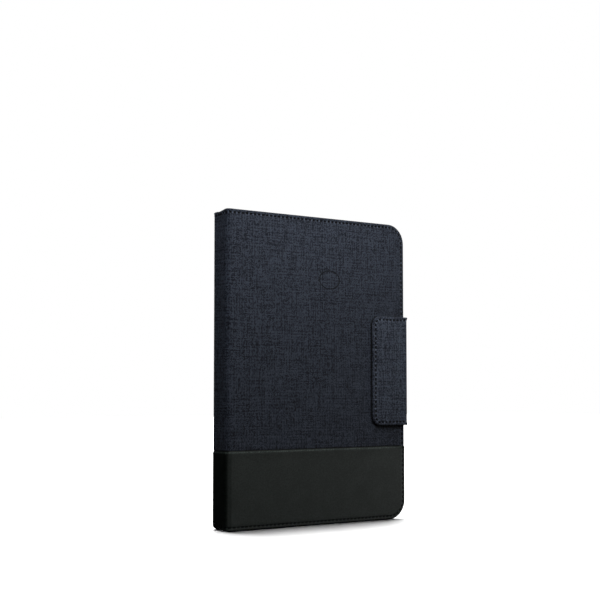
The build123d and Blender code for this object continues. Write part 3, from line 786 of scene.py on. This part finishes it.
def cloth_relief(side, wrap):
    """The cloth's ears and ditch, and on the front the plain oval ring that is pressed into it."""
    both = top_ears(wrap)
    if side == "back":
        return both
    middle = wrap.way_to(RING_PLACE[0])

    def relief(s, z):
        across, up = (s - middle) / RING_SIZE[0], (z - RING_PLACE[1]) / RING_SIZE[1]
        off_ring = (math.hypot(across, up) - 1) * min(RING_SIZE)
        return both(s, z) + RING_DEPTH * math.exp(-((off_ring / RING_GROOVE) ** 4))

    return relief


LIP_ROWS = [BAND - drop for drop in (0.12, 0.25, 0.42, 0.65, 1.0, 1.4, 2.0, 3.0)]
DITCH_ROWS = [BAND + rise for rise in (0.0, 0.3, 0.6, 0.9, 1.3, 1.8, 2.6)]
CASE = {
    "front": (Wrap(X_LEFT, 1, SPINE_HALF, FOLD, -1), ("spine", "front_cover")),
    "back": (Wrap(X_LEFT, 1, SPINE_HALF, FOLD, 1), ("spine", "back_cover")),
}
LEG_X = (LEG_LOW.x - 0.5, LEG_HIGH.x + 0.2)
LEG_Z = (LEG_LOW.z - 0.5, LEG_HIGH.z + 0.5)
HINGE_STRIP = 2.5


def window_edge(wrap):
    """The kickstand's window: from the hinge along the top, round the free end and back along the bottom."""
    hinge, end = wrap.way_to(LEG_X[1] + HINGE_STRIP), wrap.way_to(LEG_X[0])
    low, high = LEG_Z
    inner = end + LEG_CORNER
    for s in spaced(hinge, inner, 3.0):
        yield (s, high - LEG_CORNER), (0, -1), -LEG_CORNER
    for centre, (x, z), radius in arc((inner, high - LEG_CORNER), -LEG_CORNER, 90, 180):
        yield centre, (-x, -z), radius
    for z in spaced(high - LEG_CORNER, low + LEG_CORNER, 3.0):
        yield (inner, z), (1, 0), -LEG_CORNER
    for centre, (x, z), radius in arc((inner, low + LEG_CORNER), -LEG_CORNER, 180, 270):
        yield centre, (-x, -z), radius
    for s in spaced(inner, hinge, 3.0):
        yield (s, low + LEG_CORNER), (0, 1), -LEG_CORNER


WINDOW_TURN = (
    (2.4, 2.6), (0.5, 2.6), (0.1, 2.3), (0.0, 1.7), (0.0, 1.1), (0.1, 0.7), (0.4, 0.42), (1.0, CLOTH_SUNK),
)

for side, (wrap, bodies) in CASE.items():
    boards = (f"{side}_board", "spine_board")
    stop = wrap.way_to(X_RIGHT)
    ways = wrap.ways(stop, 3.0)
    columns = wrap.ways(stop, 12.0)
    cloth_low = BAND - BAND_LAP
    rows = sorted({*spaced(cloth_low, HEIGHT, 12.0), *DITCH_ROWS})
    inset = CLOTH_TURN[-1][0]
    lift = drawn_in(side)
    cloth_edge = Edge(
        free_edge(ways, stop, cloth_low, HEIGHT, COVER_CORNER, bottom=False, uprights=DITCH_ROWS, lift=lift)
    )
    closing = [(s, cloth_low) for s in reversed(columns) if s < stop - inset]
    closing += [(0.0, z) for z in rows[1:] if z < HEIGHT - inset - 1]
    holes = []
    if side == "back":
        window = Edge(window_edge(wrap))
        hinge_way = wrap.way_to(LEG_X[1] + HINGE_STRIP)
        holes = [(window, WINDOW_TURN, [(hinge_way, z) for z in spaced(LEG_Z[0], LEG_Z[1], 12.0)])]
    else:
        middle = wrap.way_to(RING_PLACE[0])
        fine_columns = [middle + d for d in spaced(-RING_SIZE[0] - 1, RING_SIZE[0] + 1, 0.36)]
        fine_rows = [RING_PLACE[1] + d for d in spaced(-RING_SIZE[1] - 1, RING_SIZE[1] + 1, 0.36)]
        fine = [(s, z) for s in fine_columns for z in fine_rows]
    cloth = skin(
        f"{side}_cloth", wrap, cloth_edge, CLOTH_TURN, closing, columns, rows, CLOTH,
        relief=cloth_relief(side, wrap), holes=holes, more=fine if side == "front" else (),
    )
    hinged(cloth, wrap, *bodies)
    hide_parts(f"{side}_fabric", f"{side}_fold_fabric", "spine_fabric")
    turned_in = CLOTH_TURN[0][0] + BOARD_DEPTH
    stretched(cloth, stop + turned_in, HEIGHT - cloth_low + turned_in, *boards)

    band_stop = stop + BAND_WIDER
    band_inset = BAND_TURN[-1][0]
    whole_edge = Edge(free_edge(ways, stop, 0.0, HEIGHT, COVER_CORNER, lift=lift))
    band_edge = Edge(
        free_edge(ways, band_stop, 0.0, BAND, COVER_CORNER, top=False, uprights=LIP_ROWS, lift=lift),
        start=whole_edge.way_down_to(BAND),
    )
    closing = [(0.0, z) for z in spaced(band_inset, BAND, 12.0)[1:-1]]
    closing += [(s, BAND) for s in columns if s < band_stop - band_inset - 1]
    band = skin(
        f"{side}_band", wrap, band_edge, BAND_TURN, closing, columns, [*spaced(0.0, BAND, 12.0), *LIP_ROWS],
        LEATHER, relief=bottom_ears(wrap),
    )
    hinged(band, wrap, *bodies)
    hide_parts(f"{side}_leather", f"{side}_fold_leather", "spine_leather")
    stretched(band, band_stop + turned_in, BAND + turned_in, *boards)

    lining_stop = stop - LINING_INSET
    lining_edge = Edge(
        free_edge(
            ways, lining_stop, LINING_INSET, HEIGHT - LINING_INSET, COVER_CORNER - LINING_INSET, lift=lift
        )
    )
    lining_inset = LINING_INSET + LINING_TURN[-1][0]
    closing = [(0.0, z) for z in spaced(lining_inset, HEIGHT - lining_inset, 12.0)[1:-1]]
    lining = skin(
        f"{side}_lining_cloth", wrap, lining_edge, LINING_TURN, closing, columns, rows, LINING,
        inwards=True,
    )
    hinged(lining, wrap, *bodies, depth=LINING_DEPTH)
    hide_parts(f"{side}_lining", "spine_lining")
    stretched(lining, lining_stop, HEIGHT - 2 * LINING_INSET, *boards)


# Stitching


STITCH_LOOPS, STITCH_SIDES = 7, 8


def stitches(name, wrap, edge, depth_at):
    """A row of sewn stitches, each a short thread that dips into the cloth at both ends."""
    line, along = edge.stitch_line, edge.along
    count = int((along[-1] - 2 * STITCH_START) / STITCH_PITCH) + 1
    chance = random.Random(name)
    corners, faces = [], []
    k = 0
    for number in range(count):
        way = STITCH_START + number * STITCH_PITCH
        while along[k + 1] < way:
            k += 1
        share = (way - along[k]) / (along[k + 1] - along[k])
        middle = line[k].lerp(line[k + 1], share)
        ahead = (line[k + 1] - line[k]).normalized()
        ahead.rotate(Matrix.Rotation(math.radians(chance.uniform(*STITCH_SLANT)), 2))
        across = Vector((-ahead.y, ahead.x))
        half = STITCH_LENGTH / 2 * chance.uniform(*STITCH_UNEVEN)
        first = len(corners)
        for i in range(STITCH_LOOPS):
            t = 2 * i / (STITCH_LOOPS - 1) - 1
            radius = THREAD_RADIUS * (1 - THREAD_TAPER * t ** 4)
            for j in range(STITCH_SIDES):
                angle = 2 * math.pi * j / STITCH_SIDES
                spot = middle + ahead * (half * t) + across * (radius * math.cos(angle))
                depth = depth_at(middle.x, middle.y) - THREAD_PROUD + STITCH_DIP * t ** 4
                depth -= radius * math.sin(angle) * THREAD_FLAT
                on_thread = (half * t, j / STITCH_SIDES)
                corners.append((wrap.point(spot.x, spot.y, depth), on_thread, (FAR, 0.0)))
        close_up(faces, first, STITCH_SIDES, STITCH_LOOPS)
    return build(name, corners, faces, THREAD, flip=wrap.side * wrap.towards > 0)


def cover_stitch_depth(s, z):
    return dict(BAND_TURN if z < BAND else CLOTH_TURN)[EDGE_STITCH]


for side, (wrap, bodies) in CASE.items():
    stop = wrap.way_to(X_RIGHT)
    ways = wrap.ways(stop, 3.0)
    edge = Edge(free_edge(ways, stop, 0.0, HEIGHT, COVER_CORNER, lift=drawn_in(side)))
    hinged(stitches(f"{side}_stitching", wrap, edge, cover_stitch_depth), wrap, *bodies)


# Closure tab

TAB = {
    "flap": (Wrap(X_TAB, -1, TAB_HALF - TAB_FOLD, TAB_FOLD, -1), ("tab_side", "tab_flap"), FLAP_X),
    "root": (Wrap(X_TAB, -1, TAB_HALF - TAB_FOLD, TAB_FOLD, 1), ("tab_side", "back_cover"), ROOT_X),
}
TAB_TURNED_IN = 4
TAB_LINING_INSET = 1.4
TAB_LINING_TURN = ((0.0, 1.9), (0.02, 2.0), (0.15, 2.08), (0.5, 2.12), (1.2, 2.13))


def tab_stitch_depth(s, z):
    return dict(TAB_TURN)[TAB_STITCH]


for part, (wrap, bodies, end_x) in TAB.items():
    stop = wrap.way_to(end_x)
    ways = wrap.ways(stop, 2.0)
    columns = wrap.ways(stop, 6.0)
    rows = spaced(TAB_LOW, TAB_HIGH, 6.0)
    edge = Edge(free_edge(ways, stop, TAB_LOW, TAB_HIGH, TAB_CORNER), TAB_STITCH)
    inset = TAB_TURN[-1][0]
    closing = [(0.0, z) for z in spaced(TAB_LOW + inset, TAB_HIGH - inset, 6.0)[1:-1]]
    cover = skin(
        f"tab_{part}_cloth", wrap, edge, TAB_TURN, closing, columns, rows, TAB_CLOTH,
        relief=ears(wrap, TAB_LOW, TAB_HIGH, 0.8, 2.2),
    )
    hinged(cover, wrap, *bodies)
    stretched(cover, stop + TAB_TURNED_IN, TAB_HIGH - TAB_LOW + 2 * TAB_TURNED_IN, "tab_side_stiffener")
    hinged(stitches(f"tab_{part}_stitching", wrap, edge, tab_stitch_depth), wrap, *bodies)
    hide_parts(f"tab_{part}_skin", "tab_side_skin")
    inset = TAB_LINING_INSET
    lining_edge = Edge(free_edge(ways, stop - inset, TAB_LOW + inset, TAB_HIGH - inset, TAB_CORNER - inset))
    lining = skin(
        f"tab_{part}_lining_cloth", wrap, lining_edge, TAB_LINING_TURN,
        [(0.0, z) for z in spaced(TAB_LOW + 3, TAB_HIGH - 3, 6.0)[1:-1]], columns, rows, LINING,
        inwards=True,
    )
    hinged(lining, wrap, *bodies, depth=TAB_THICKNESS)
    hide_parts("tab_side_lining", *(["tab_flap_lining"] if part == "flap" else []))
    stretched(lining, stop, TAB_HIGH - TAB_LOW, "tab_side_stiffener")


# Kickstand


def leg_edge(wrap):
    """The leg's free edge: along the bottom, up the free end round the finger notch, and along the top."""
    hinge, end = wrap.way_to(LEG_JOIN), wrap.way_to(LEG_LOW.x)
    low, high = LEG_LOW.z, LEG_HIGH.z
    middle, radius = (low + high) / 2, LEG_CORNER
    inner = end + radius
    lip_up = math.sqrt((NOTCH_RADIUS + NOTCH_LIP) ** 2 - NOTCH_LIP ** 2)
    lean = math.degrees(math.atan2(lip_up, NOTCH_LIP))
    for s in spaced(hinge, inner, 3.0):
        yield (s, low + radius), (0, -1), radius
    yield from arc((inner, low + radius), radius, -90, -180)
    for z in spaced(low + radius, middle - lip_up, 3.0):
        yield (inner, z), (-1, 0), radius
    yield from arc((end + NOTCH_LIP, middle - lip_up), NOTCH_LIP, 180, 180 - lean)
    for centre, (x, z), _ in arc((end, middle), NOTCH_RADIUS, -lean, lean, steps=24):
        yield centre, (-x, -z), -NOTCH_RADIUS
    yield from arc((end + NOTCH_LIP, middle + lip_up), NOTCH_LIP, 180 + lean, 180)
    for z in spaced(middle + lip_up, high - radius, 3.0):
        yield (inner, z), (-1, 0), radius
    yield from arc((inner, high - radius), radius, 180, 90)
    for s in spaced(inner, hinge, 3.0):
        yield (s, high - radius), (0, 1), radius


LEG_JOIN = LEG_HIGH.x - 1.6
LEG_STITCH = 2.8
LEG_TURN = (
    (1.2, 2.6), (0.5, 2.6), (0.12, 2.35), (0.0, 1.8), (0.0, 1.1), (0.1, 0.65), (0.4, 0.38), (1.0, 0.28),
    (1.8, 0.27),
)
LEG_TURNED_IN = 3
LEG_LINING_END = 10.2
LEG_LINING_INSET = 1.4
LEG_LINING_CORNER = 3.0
LEG_LINING_TURN = ((0.0, 2.5), (0.02, 2.6), (0.15, 2.66), (0.6, 2.68))
leg_wrap = CASE["back"][0]
leg_ways = (leg_wrap.way_to(LEG_LOW.x), leg_wrap.way_to(LEG_JOIN))
leg_columns = spaced(*leg_ways, 10.0)
leg_rows = spaced(LEG_LOW.z, LEG_HIGH.z, 10.0)


def up_the_join(inset):
    """The line where the leg meets its hinge, from the top to the bottom."""
    return [(leg_ways[1], z) for z in spaced(LEG_HIGH.z - inset, LEG_LOW.z + inset, 10.0)[1:-1]]


leg = Edge(leg_edge(leg_wrap), LEG_STITCH)
leg_cloth = skin(
    "kickstand_cloth", leg_wrap, leg, LEG_TURN, up_the_join(LEG_TURN[-1][0]), leg_columns, leg_rows, CLOTH,
)
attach(leg_cloth, "kickstand")
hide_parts("kickstand_fabric")
leg_size = (leg_ways[1] - leg_ways[0], LEG_HIGH.z - LEG_LOW.z)
stretched(leg_cloth, leg_size[0] + LEG_TURNED_IN, leg_size[1] + 2 * LEG_TURNED_IN, "kickstand_board")
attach(stitches("kickstand_stitching", leg_wrap, leg, lambda s, z: LEG_TURN[-1][1]), "kickstand")


def plain_edge(low_way, high_way, low, high, radius):
    """A rectangle's whole edge with round corners, from the top left corner round to it again."""
    for s in spaced(low_way + radius, high_way - radius, 6.0):
        yield (s, high - radius), (0, 1), radius
    yield from arc((high_way - radius, high - radius), radius, 90, 0)
    for z in spaced(high - radius, low + radius, 6.0):
        yield (high_way - radius, z), (1, 0), radius
    yield from arc((high_way - radius, low + radius), radius, 0, -90)
    for s in spaced(high_way - radius, low_way + radius, 6.0):
        yield (s, low + radius), (0, -1), radius
    yield from arc((low_way + radius, low + radius), radius, -90, -180)
    for z in spaced(low + radius, high - radius, 6.0):
        yield (low_way + radius, z), (-1, 0), radius
    yield from arc((low_way + radius, high - radius), radius, 180, 90)


leg_lining_z = (LEG_LOW.z + LEG_LINING_INSET, LEG_HIGH.z - LEG_LINING_INSET)
leg_back = Edge(plain_edge(leg_ways[0] + LEG_LINING_END, leg_ways[1], *leg_lining_z, LEG_LINING_CORNER))
leg_lining = skin(
    "kickstand_lining_cloth", leg_wrap, leg_back, LEG_LINING_TURN, [], leg_columns, leg_rows,
    LINING, inwards=True,
)
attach(leg_lining, "kickstand")
stretched(leg_lining, leg_size[0] - LEG_LINING_END, leg_size[1] - 2 * LEG_LINING_INSET, "kickstand_board")

# The hinge is a strip of the cover's own cloth, left uncut, at the leg's axis.
STRIP_LAP = 0.6
STRIP_FRONT, STRIP_BACK = 0.27, 0.85
STRIP_DIP = 0.12
strip_x = (LEG_JOIN - STRIP_LAP, LEG_X[1] + HINGE_STRIP + STRIP_LAP)
strip_ways = spaced(leg_wrap.way_to(strip_x[0]), leg_wrap.way_to(strip_x[1]), 0.35)
strip_rows = spaced(LEG_LOW.z + 0.1, LEG_HIGH.z - 0.1, 6.0)
strip_corners, strip_faces = [], []
for strip_depth, turned in ((STRIP_FRONT, False), (STRIP_BACK, True)):
    first = len(strip_corners)
    for i, s in enumerate(strip_ways):
        ends = min(i, len(strip_ways) - 1 - i)
        depth = strip_depth + (STRIP_DIP if ends == 0 and not turned else 0.0)
        for z in strip_rows:
            strip_corners.append((leg_wrap.point(s, z, depth), (s, z), (FAR, 0.0)))
    wide = len(strip_rows)
    for i in range(len(strip_ways) - 1):
        for j in range(wide - 1):
            a = first + i * wide + j
            face = (a, a + wide, a + wide + 1, a + 1)
            strip_faces.append(tuple(reversed(face)) if turned else face)
hinge_strip = build("kickstand_hinge_strip", strip_corners, strip_faces, CLOTH)
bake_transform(hinge_strip)
strip_size = (strip_x[1] - strip_x[0], LEG_HIGH.z - LEG_LOW.z)
stretched(hinge_strip, 2 * strip_size[0], strip_size[1], "back_board")

WINDOW_LAP = 4
BACKING_CORNER = 8.0
BACKING_TURN = ((0.0, 2.86), (1.0, 2.8))
window = (leg_wrap.way_to(LEG_X[0]) - WINDOW_LAP, leg_wrap.way_to(LEG_X[1]) + WINDOW_LAP)
backing_edge = Edge(plain_edge(*window, LEG_Z[0] - WINDOW_LAP, LEG_Z[1] + WINDOW_LAP, BACKING_CORNER))
backing = skin(
    "window_backing", leg_wrap, backing_edge, BACKING_TURN, [], leg_columns, leg_rows, LINING
)
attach(backing, "back_cover")
stretched(backing, window[1] - window[0], LEG_Z[1] - LEG_Z[0] + 2 * WINDOW_LAP, "back_board")


# Tablet holder's elastic


def islands(node):
    """The boxes of a CAD node's separate solids, in millimetres, from the highest in Z down."""
    work = bmesh.new()
    work.from_mesh(frame["nodes"][node].data)
    bmesh.ops.remove_doubles(work, verts=work.verts, dist=0.001 * MM)
    work.verts.ensure_lookup_table()
    seen, found = set(), []
    for vertex in work.verts:
        if vertex.index in seen:
            continue
        group, queue = [], [vertex]
        seen.add(vertex.index)
        while queue:
            here = queue.pop()
            group.append(here.co.copy())
            for edge in here.link_edges:
                other = edge.other_vert(here)
                if other.index not in seen:
                    seen.add(other.index)
                    queue.append(other)
        spots = np.array([tuple(spot) for spot in group]) / MM
        found.append((Vector(spots.min(0)), Vector(spots.max(0))))
    work.free()
    return sorted(found, key=lambda corners: -corners[1].z)


RIBS, RIB_HEIGHT = 10, 0.04
HEM, HEM_SWELL = 4, 0.92
ELASTIC_WAIST = 0.35


def make_elastic():
    """Two flat elastics from the holder's posts to the carriage, ribbed along, with a hem at each end."""
    low, high = box_mm("elastic_bands")
    sections = spaced(low.x, high.x, 0.9)
    one_low, one_high = islands("elastic_bands")[0]
    width = one_high.z - one_low.z
    thickness = high.y - low.y
    corners, faces = [], []
    ring = []
    for i in range(2 * RIBS + 1):
        ring.append((i / (2 * RIBS), 0.5 + (RIB_HEIGHT if i % 2 else 0.0)))
    ring += [(t, -height) for t, height in reversed(ring)]
    for z_low in (low.z, high.z - width):
        first = len(corners)
        for x in sections:
            from_end = min(x - low.x, high.x - x)
            swell = 1.0 if from_end > HEM else HEM_SWELL
            waist = ELASTIC_WAIST * math.sin(math.pi * (x - low.x) / (high.x - low.x))
            for t, height in ring:
                z = z_low + waist + t * (width - 2 * waist)
                edge = 1 - 0.55 * abs(2 * t - 1) ** 8
                y = (low.y + high.y) / 2 + height * 0.92 * thickness * swell * edge
                corners.append((Vector((x, y, z)), (x, z), (FAR, 0.0)))
        close_up(faces, first, len(ring), len(sections))
    return build("elastic_webbing", corners, faces, ELASTIC)


elastic = make_elastic()
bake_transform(elastic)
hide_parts("elastic_bands")


# Keys: legends in the keyboard's own directions, with right towards -Z and up towards -X

LEGENDS = {
    "function_keys": ["esc", *(f"F{i}" for i in range(1, 13)), "ins", "del"],
    "number_keys": list("`1234567890-="),
    "backspace_key": ["back"],
    "upper_keys": [*"QWERTYUIOP[]", "/"],
    "tab_key": ["tab"],
    "home_keys": list("ASDFGHJKL;'"),
    "caps_key": ["caps"],
    "enter_key": ["enter"],
    "lower_keys": list("ZXCVBNM,.?"),
    "left_shift_key": ["shift"],
    "right_shift_key": ["shift"],
    "bottom_keys": ["fn", "ctrl", "alt", "alt", "<", "v", "^", ">", "menu"],
}
KEY_NODES = [*LEGENDS, "space_bar"]
LETTER_SIZE, WORD_SIZE = 4.6, 2.9
PRINT_RAISED = 0.02


def lettering(text, size):
    """A word's flat outline as places and triangles, centred."""
    curve = bpy.data.curves.new("lettering", "FONT")
    curve.body, curve.size, curve.align_x, curve.align_y = text, size, "CENTER", "CENTER"
    curve.resolution_u = 3
    word = bpy.data.objects.new("lettering", curve)
    mesh = bpy.data.meshes.new_from_object(word)
    spots = np.array([tuple(vertex.co)[:2] for vertex in mesh.vertices])
    spots -= (spots.min(0) + spots.max(0)) / 2
    faces = [tuple(polygon.vertices) for polygon in mesh.polygons]
    bpy.data.objects.remove(word)
    bpy.data.curves.remove(curve)
    bpy.data.meshes.remove(mesh)
    return spots, faces


for node, words in LEGENDS.items():
    corners, faces = [], []
    for (low, high), text in zip(islands(node), words):
        centre = (low + high) / 2
        spots, outline_faces = lettering(text, LETTER_SIZE if len(text) == 1 else WORD_SIZE)
        first = len(corners)
        for right, up in spots:
            place = Vector((centre.x - up, high.y + PRINT_RAISED, centre.z - right))
            corners.append((place, (right, up), (FAR, 0.0)))
        faces += [tuple(first + i for i in face) for face in outline_faces]
    legends = build(f"{node}_legends", corners, faces, PRINT)
    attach(legends, node)

HOME_BUMP_KEYS = ("F", "J")
BUMP_HALF, BUMP_RADIUS, BUMP_DROP = 1.6, 0.32, 4.6
corners, faces = [], []
for (low, high), text in zip(islands("home_keys"), LEGENDS["home_keys"]):
    if text in HOME_BUMP_KEYS:
        centre = (low + high) / 2
        first, ring = len(corners), 8
        ends = [-BUMP_HALF - BUMP_RADIUS * 0.6, -BUMP_HALF, BUMP_HALF, BUMP_HALF + BUMP_RADIUS * 0.6]
        for along, share in zip(ends, (0.35, 1.0, 1.0, 0.35)):
            for j in range(ring):
                angle = math.pi * j / (ring - 1)
                x = centre.x + BUMP_DROP + BUMP_RADIUS * share * math.cos(angle)
                y = high.y - 0.02 + BUMP_RADIUS * share * math.sin(angle)
                corners.append((Vector((x, y, centre.z + along)), (x, along), (FAR, 0.0)))
        for i in range(len(ends) - 1):
            for j in range(ring - 1):
                a = first + i * ring + j
                faces.append((a, a + ring, a + ring + 1, a + 1))
        faces.append(tuple(first + j for j in range(ring)))
        faces.append(tuple(first + (len(ends) - 1) * ring + j for j in reversed(range(ring))))
bumps = build("home_key_bumps", corners, faces, KEYCAP)
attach(bumps, "home_keys")


# Rubber domes under the keys, on their sheet

SHEET_THICK = 0.3
SHEET_CORNER = 3.0
DOME_PROFILE = ((2.2, 0.0), (2.05, 0.12), (1.8, 0.5), (1.6, 0.85), (1.4, 1.0))
DOME_SIDES = 16
DOME_SLACK = 0.03


def stacked(corners, faces, loops):
    """Adds a closed form of loops of places, one above the other in Y."""
    close_up(faces, len(corners), len(loops[0]), len(loops), inwards=True)
    corners += [(place, (place.x, place.z), (FAR, 0.0)) for loop in loops for place in loop]


def make_dome_sheet(low, high):
    corners, faces = [], []
    outline = []
    ends = ((high.x, high.z), (low.x, high.z), (low.x, low.z), (high.x, low.z))
    middle = (low + high) / 2
    for quarter, (x, z) in enumerate(ends):
        x += math.copysign(SHEET_CORNER, middle.x - x)
        z += math.copysign(SHEET_CORNER, middle.z - z)
        for angle in spaced(0.0, 90.0, 15.0):
            turned = math.radians(90.0 * quarter + angle)
            outline.append((x + SHEET_CORNER * math.cos(turned), z + SHEET_CORNER * math.sin(turned)))
    stacked(corners, faces, [[Vector((x, y, z)) for x, z in outline] for y in (low.y, low.y + SHEET_THICK)])
    sheet = build("dome_rubber_sheet", corners, faces, SILICONE)
    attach(sheet, "front_cover")
    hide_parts("dome_sheet")


def make_domes(node, base, height):
    corners, faces = [], []
    turns = [2 * math.pi * i / DOME_SIDES for i in range(DOME_SIDES)]
    for low, high in islands(node):
        middle = (low + high) / 2
        loops = []
        for radius, rise in DOME_PROFILE:
            spots = [(radius * math.cos(turn), radius * math.sin(turn)) for turn in turns]
            loops.append([Vector((middle.x + x, base + rise * height, middle.z + z)) for x, z in spots])
        stacked(corners, faces, loops)
    domes = build(f"{node}_domes", corners, faces, SILICONE)
    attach(domes, "front_cover")
    press = next(joint for joint in frame["joints"] if joint["name"] == f"{node}_press")
    travel = press["range_m"][1] / MM + DOME_SLACK
    1 - travel / height
    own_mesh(domes)


dome_low, dome_high = box_mm("dome_sheet")
make_dome_sheet(dome_low, dome_high)
for node in KEY_NODES:
    make_domes(node, dome_low.y + SHEET_THICK, dome_high.y - dome_low.y - SHEET_THICK)


# Materials and rounded edges of the CAD nodes that stay

FINISHES = (
    (CASING, 0.35, ["keyboard_top", "keyboard_base", "keyboard_surround"]),
    (KEYCAP, 0.3, KEY_NODES + ["power_switch", "pair_button"]),
    (PLASTIC, 0.3, ["holder_base", "guide_rails", "fixed_clips", "carriage_clips", "carriage_plate"]),
    (STEEL, 0.12, ["keyboard_screws", "holder_screws", "usb_port", "catch_plates"]),
    (NICKEL, 0.2, ["tab_magnets"]),
    (CARD, 0.1, [
        "front_board", "back_board", "spine_board", "kickstand_board", "tab_side_stiffener",
        "tab_flap_stiffener", "tab_root_pad",
    ]),
    (FILM, 0.0, ["key_membrane"]),
    (CIRCUIT, 0.0, ["circuit_board"]),
    (FOIL, 0.25, ["battery"]),
    (LIGHT, 0.1, ["status_lights"]),
)


def round_edges(node, width):
    """Rounds a rigid piece's sharp edges, as a mould or a tumbler leaves them."""
    weld = node.modifiers.new("weld", "WELD")
    weld.merge_threshold = 0.001 * MM
    bevel = node.modifiers.new("bevel", "BEVEL")
    bevel.width, bevel.segments, bevel.limit_method = width * MM, 2, "ANGLE"
    bevel.angle_limit = math.radians(40)
    bevel.harden_normals = True


for material, rounding, names in FINISHES:
    for name in names:
        node = frame["nodes"][name]
        node.data.materials.clear()
        node.data.materials.append(material)
        if rounding:
            round_edges(node, rounding)


# Stage, light and camera

LENS = 71.55
SENSOR = 36.0
EYE_TURN = math.radians(35.106)
EYE_DISTANCE = 1058.9
EYE_SIDE = -11.43
EYE_HEIGHT = 115.46
EYE_TILT = math.radians(3.28)
LENS_SHIFT = 0.04


def make_floor():
    half, step = 4000.0, 1000.0
    places = spaced(-half, half, step)
    corners = [Vector((x, y, 0.0)) * MM for y in places for x in places]
    row = len(places)
    faces = [
        (i * row + j, i * row + j + 1, (i + 1) * row + j + 1, (i + 1) * row + j)
        for i in range(row - 1)
        for j in range(row - 1)
    ]
    mesh = bpy.data.meshes.new("floor")
    mesh.from_pydata(corners, [], faces)
    mesh.materials.append(FLOOR)
    floor = put_in_scene("floor", mesh)
    floor.visible_diffuse = floor.visible_glossy = False
    return floor


def only_on(lamp, floor, state):
    """Lets a lamp light the floor alone, or everything but the floor. It casts shadows either way."""
    lit = bpy.data.collections.new(f"{lamp.name}_lights")
    lit.objects.link(floor)
    lit.collection_objects[0].light_linking.link_state = state
    lamp.light_linking.receiver_collection = lit


def area_light(name, place, target, size, power, gloss=True, diffuse=True):
    light = bpy.data.lights.new(name, "AREA")
    light.shape = "RECTANGLE"
    light.size, light.size_y = (length * MM for length in size)
    light.energy = power
    lamp = put_in_scene(name, light)
    lamp.location = Vector(place) * MM
    lamp.rotation_euler = (Vector(target) - Vector(place)).to_track_quat("-Z", "Y").to_euler()
    lamp.visible_glossy = gloss
    lamp.visible_diffuse = diffuse
    return lamp


def make_camera():
    camera = bpy.data.cameras.new("camera")
    camera.lens, camera.sensor_width, camera.shift_y = LENS, SENSOR, LENS_SHIFT
    eye = put_in_scene("camera", camera)
    ahead = Vector((math.sin(EYE_TURN), math.cos(EYE_TURN), 0.0))
    aside = Vector((ahead.y, -ahead.x, 0.0))
    eye.location = (aside * EYE_SIDE - ahead * EYE_DISTANCE + Vector((0, 0, EYE_HEIGHT))) * MM
    look = ahead + Vector((0, 0, math.tan(EYE_TILT)))
    eye.rotation_euler = look.to_track_quat("-Z", "Y").to_euler()
    bpy.context.scene.camera = eye


def studio_world(towards, starts, full, glow, dim):
    """A white surround for the picture, and a dim room for the light, with a soft glow in it.

    The glow starts and is full at two cosines of the angle from its direction."""
    world = bpy.data.worlds.new("studio")
    world.use_nodes = True
    nodes = Nodes(world.node_tree)
    feeds = {0: nodes.node("TexCoord", {}, output="Generated"), 1: Vector(towards).normalized()}
    facing = nodes.node("VectorMath", feeds, output="Value", operation="DOT_PRODUCT")
    room = nodes.tree.nodes["Background"]
    nodes.feed(room.inputs["Strength"], nodes.step(facing, starts, full, 0.0, glow) + dim)
    room.inputs["Color"].default_value = (1, 1, 1, 1)
    surround = nodes.node("Background", {"Color": (1, 1, 1, 1)})
    seen = nodes.node("LightPath", {}, output="Is Camera Ray")
    mix = nodes.node("MixShader", {0: seen, 1: Value(nodes, room.outputs[0]), 2: surround})
    nodes.feed(nodes.tree.nodes["World Output"].inputs[0], mix)
    bpy.context.scene.world = world


def soft_sun(strength, angle, towards):
    """A wide light from high up."""
    light = bpy.data.lights.new("overhead", "SUN")
    light.energy, light.angle = strength, math.radians(angle)
    lamp = put_in_scene("overhead", light)
    lamp.rotation_euler = Vector(towards).to_track_quat("Z", "Y").to_euler()
    return lamp


AHEAD = (math.sin(EYE_TURN), math.cos(EYE_TURN), 0.0)
MIDDLE = (0, 0, 130)

floor = make_floor()
studio_world(AHEAD, starts=0.88, full=0.97, glow=0.9, dim=0.014)
only_on(soft_sun(9.0, 28, (0.15, 0.22, 1.0)), floor, "INCLUDE")
for lamp in (
    area_light("key", (0, -245, 478), (0, 0, 190), (430, 270), 2.1),
    area_light("side", (-400, 10, 440), (-97, 0, 200), (220, 220), 0.6, gloss=False),
    area_light("back", (20, 620, 330), (0, 0, 150), (200, 200), 4.0),
    area_light("left_sheet", (-750, -1290, 150), MIDDLE, (1300, 900), 4.6, diffuse=False),
    area_light("front_strip", (570, -1380, 100), MIDDLE, (300, 900), 4.4, diffuse=False),
    area_light("right_strip", (1320, -700, 100), MIDDLE, (600, 900), 8.0, diffuse=False),
):
    only_on(lamp, floor, "EXCLUDE")
make_camera()
bpy.context.scene.view_settings.view_transform = "Standard"
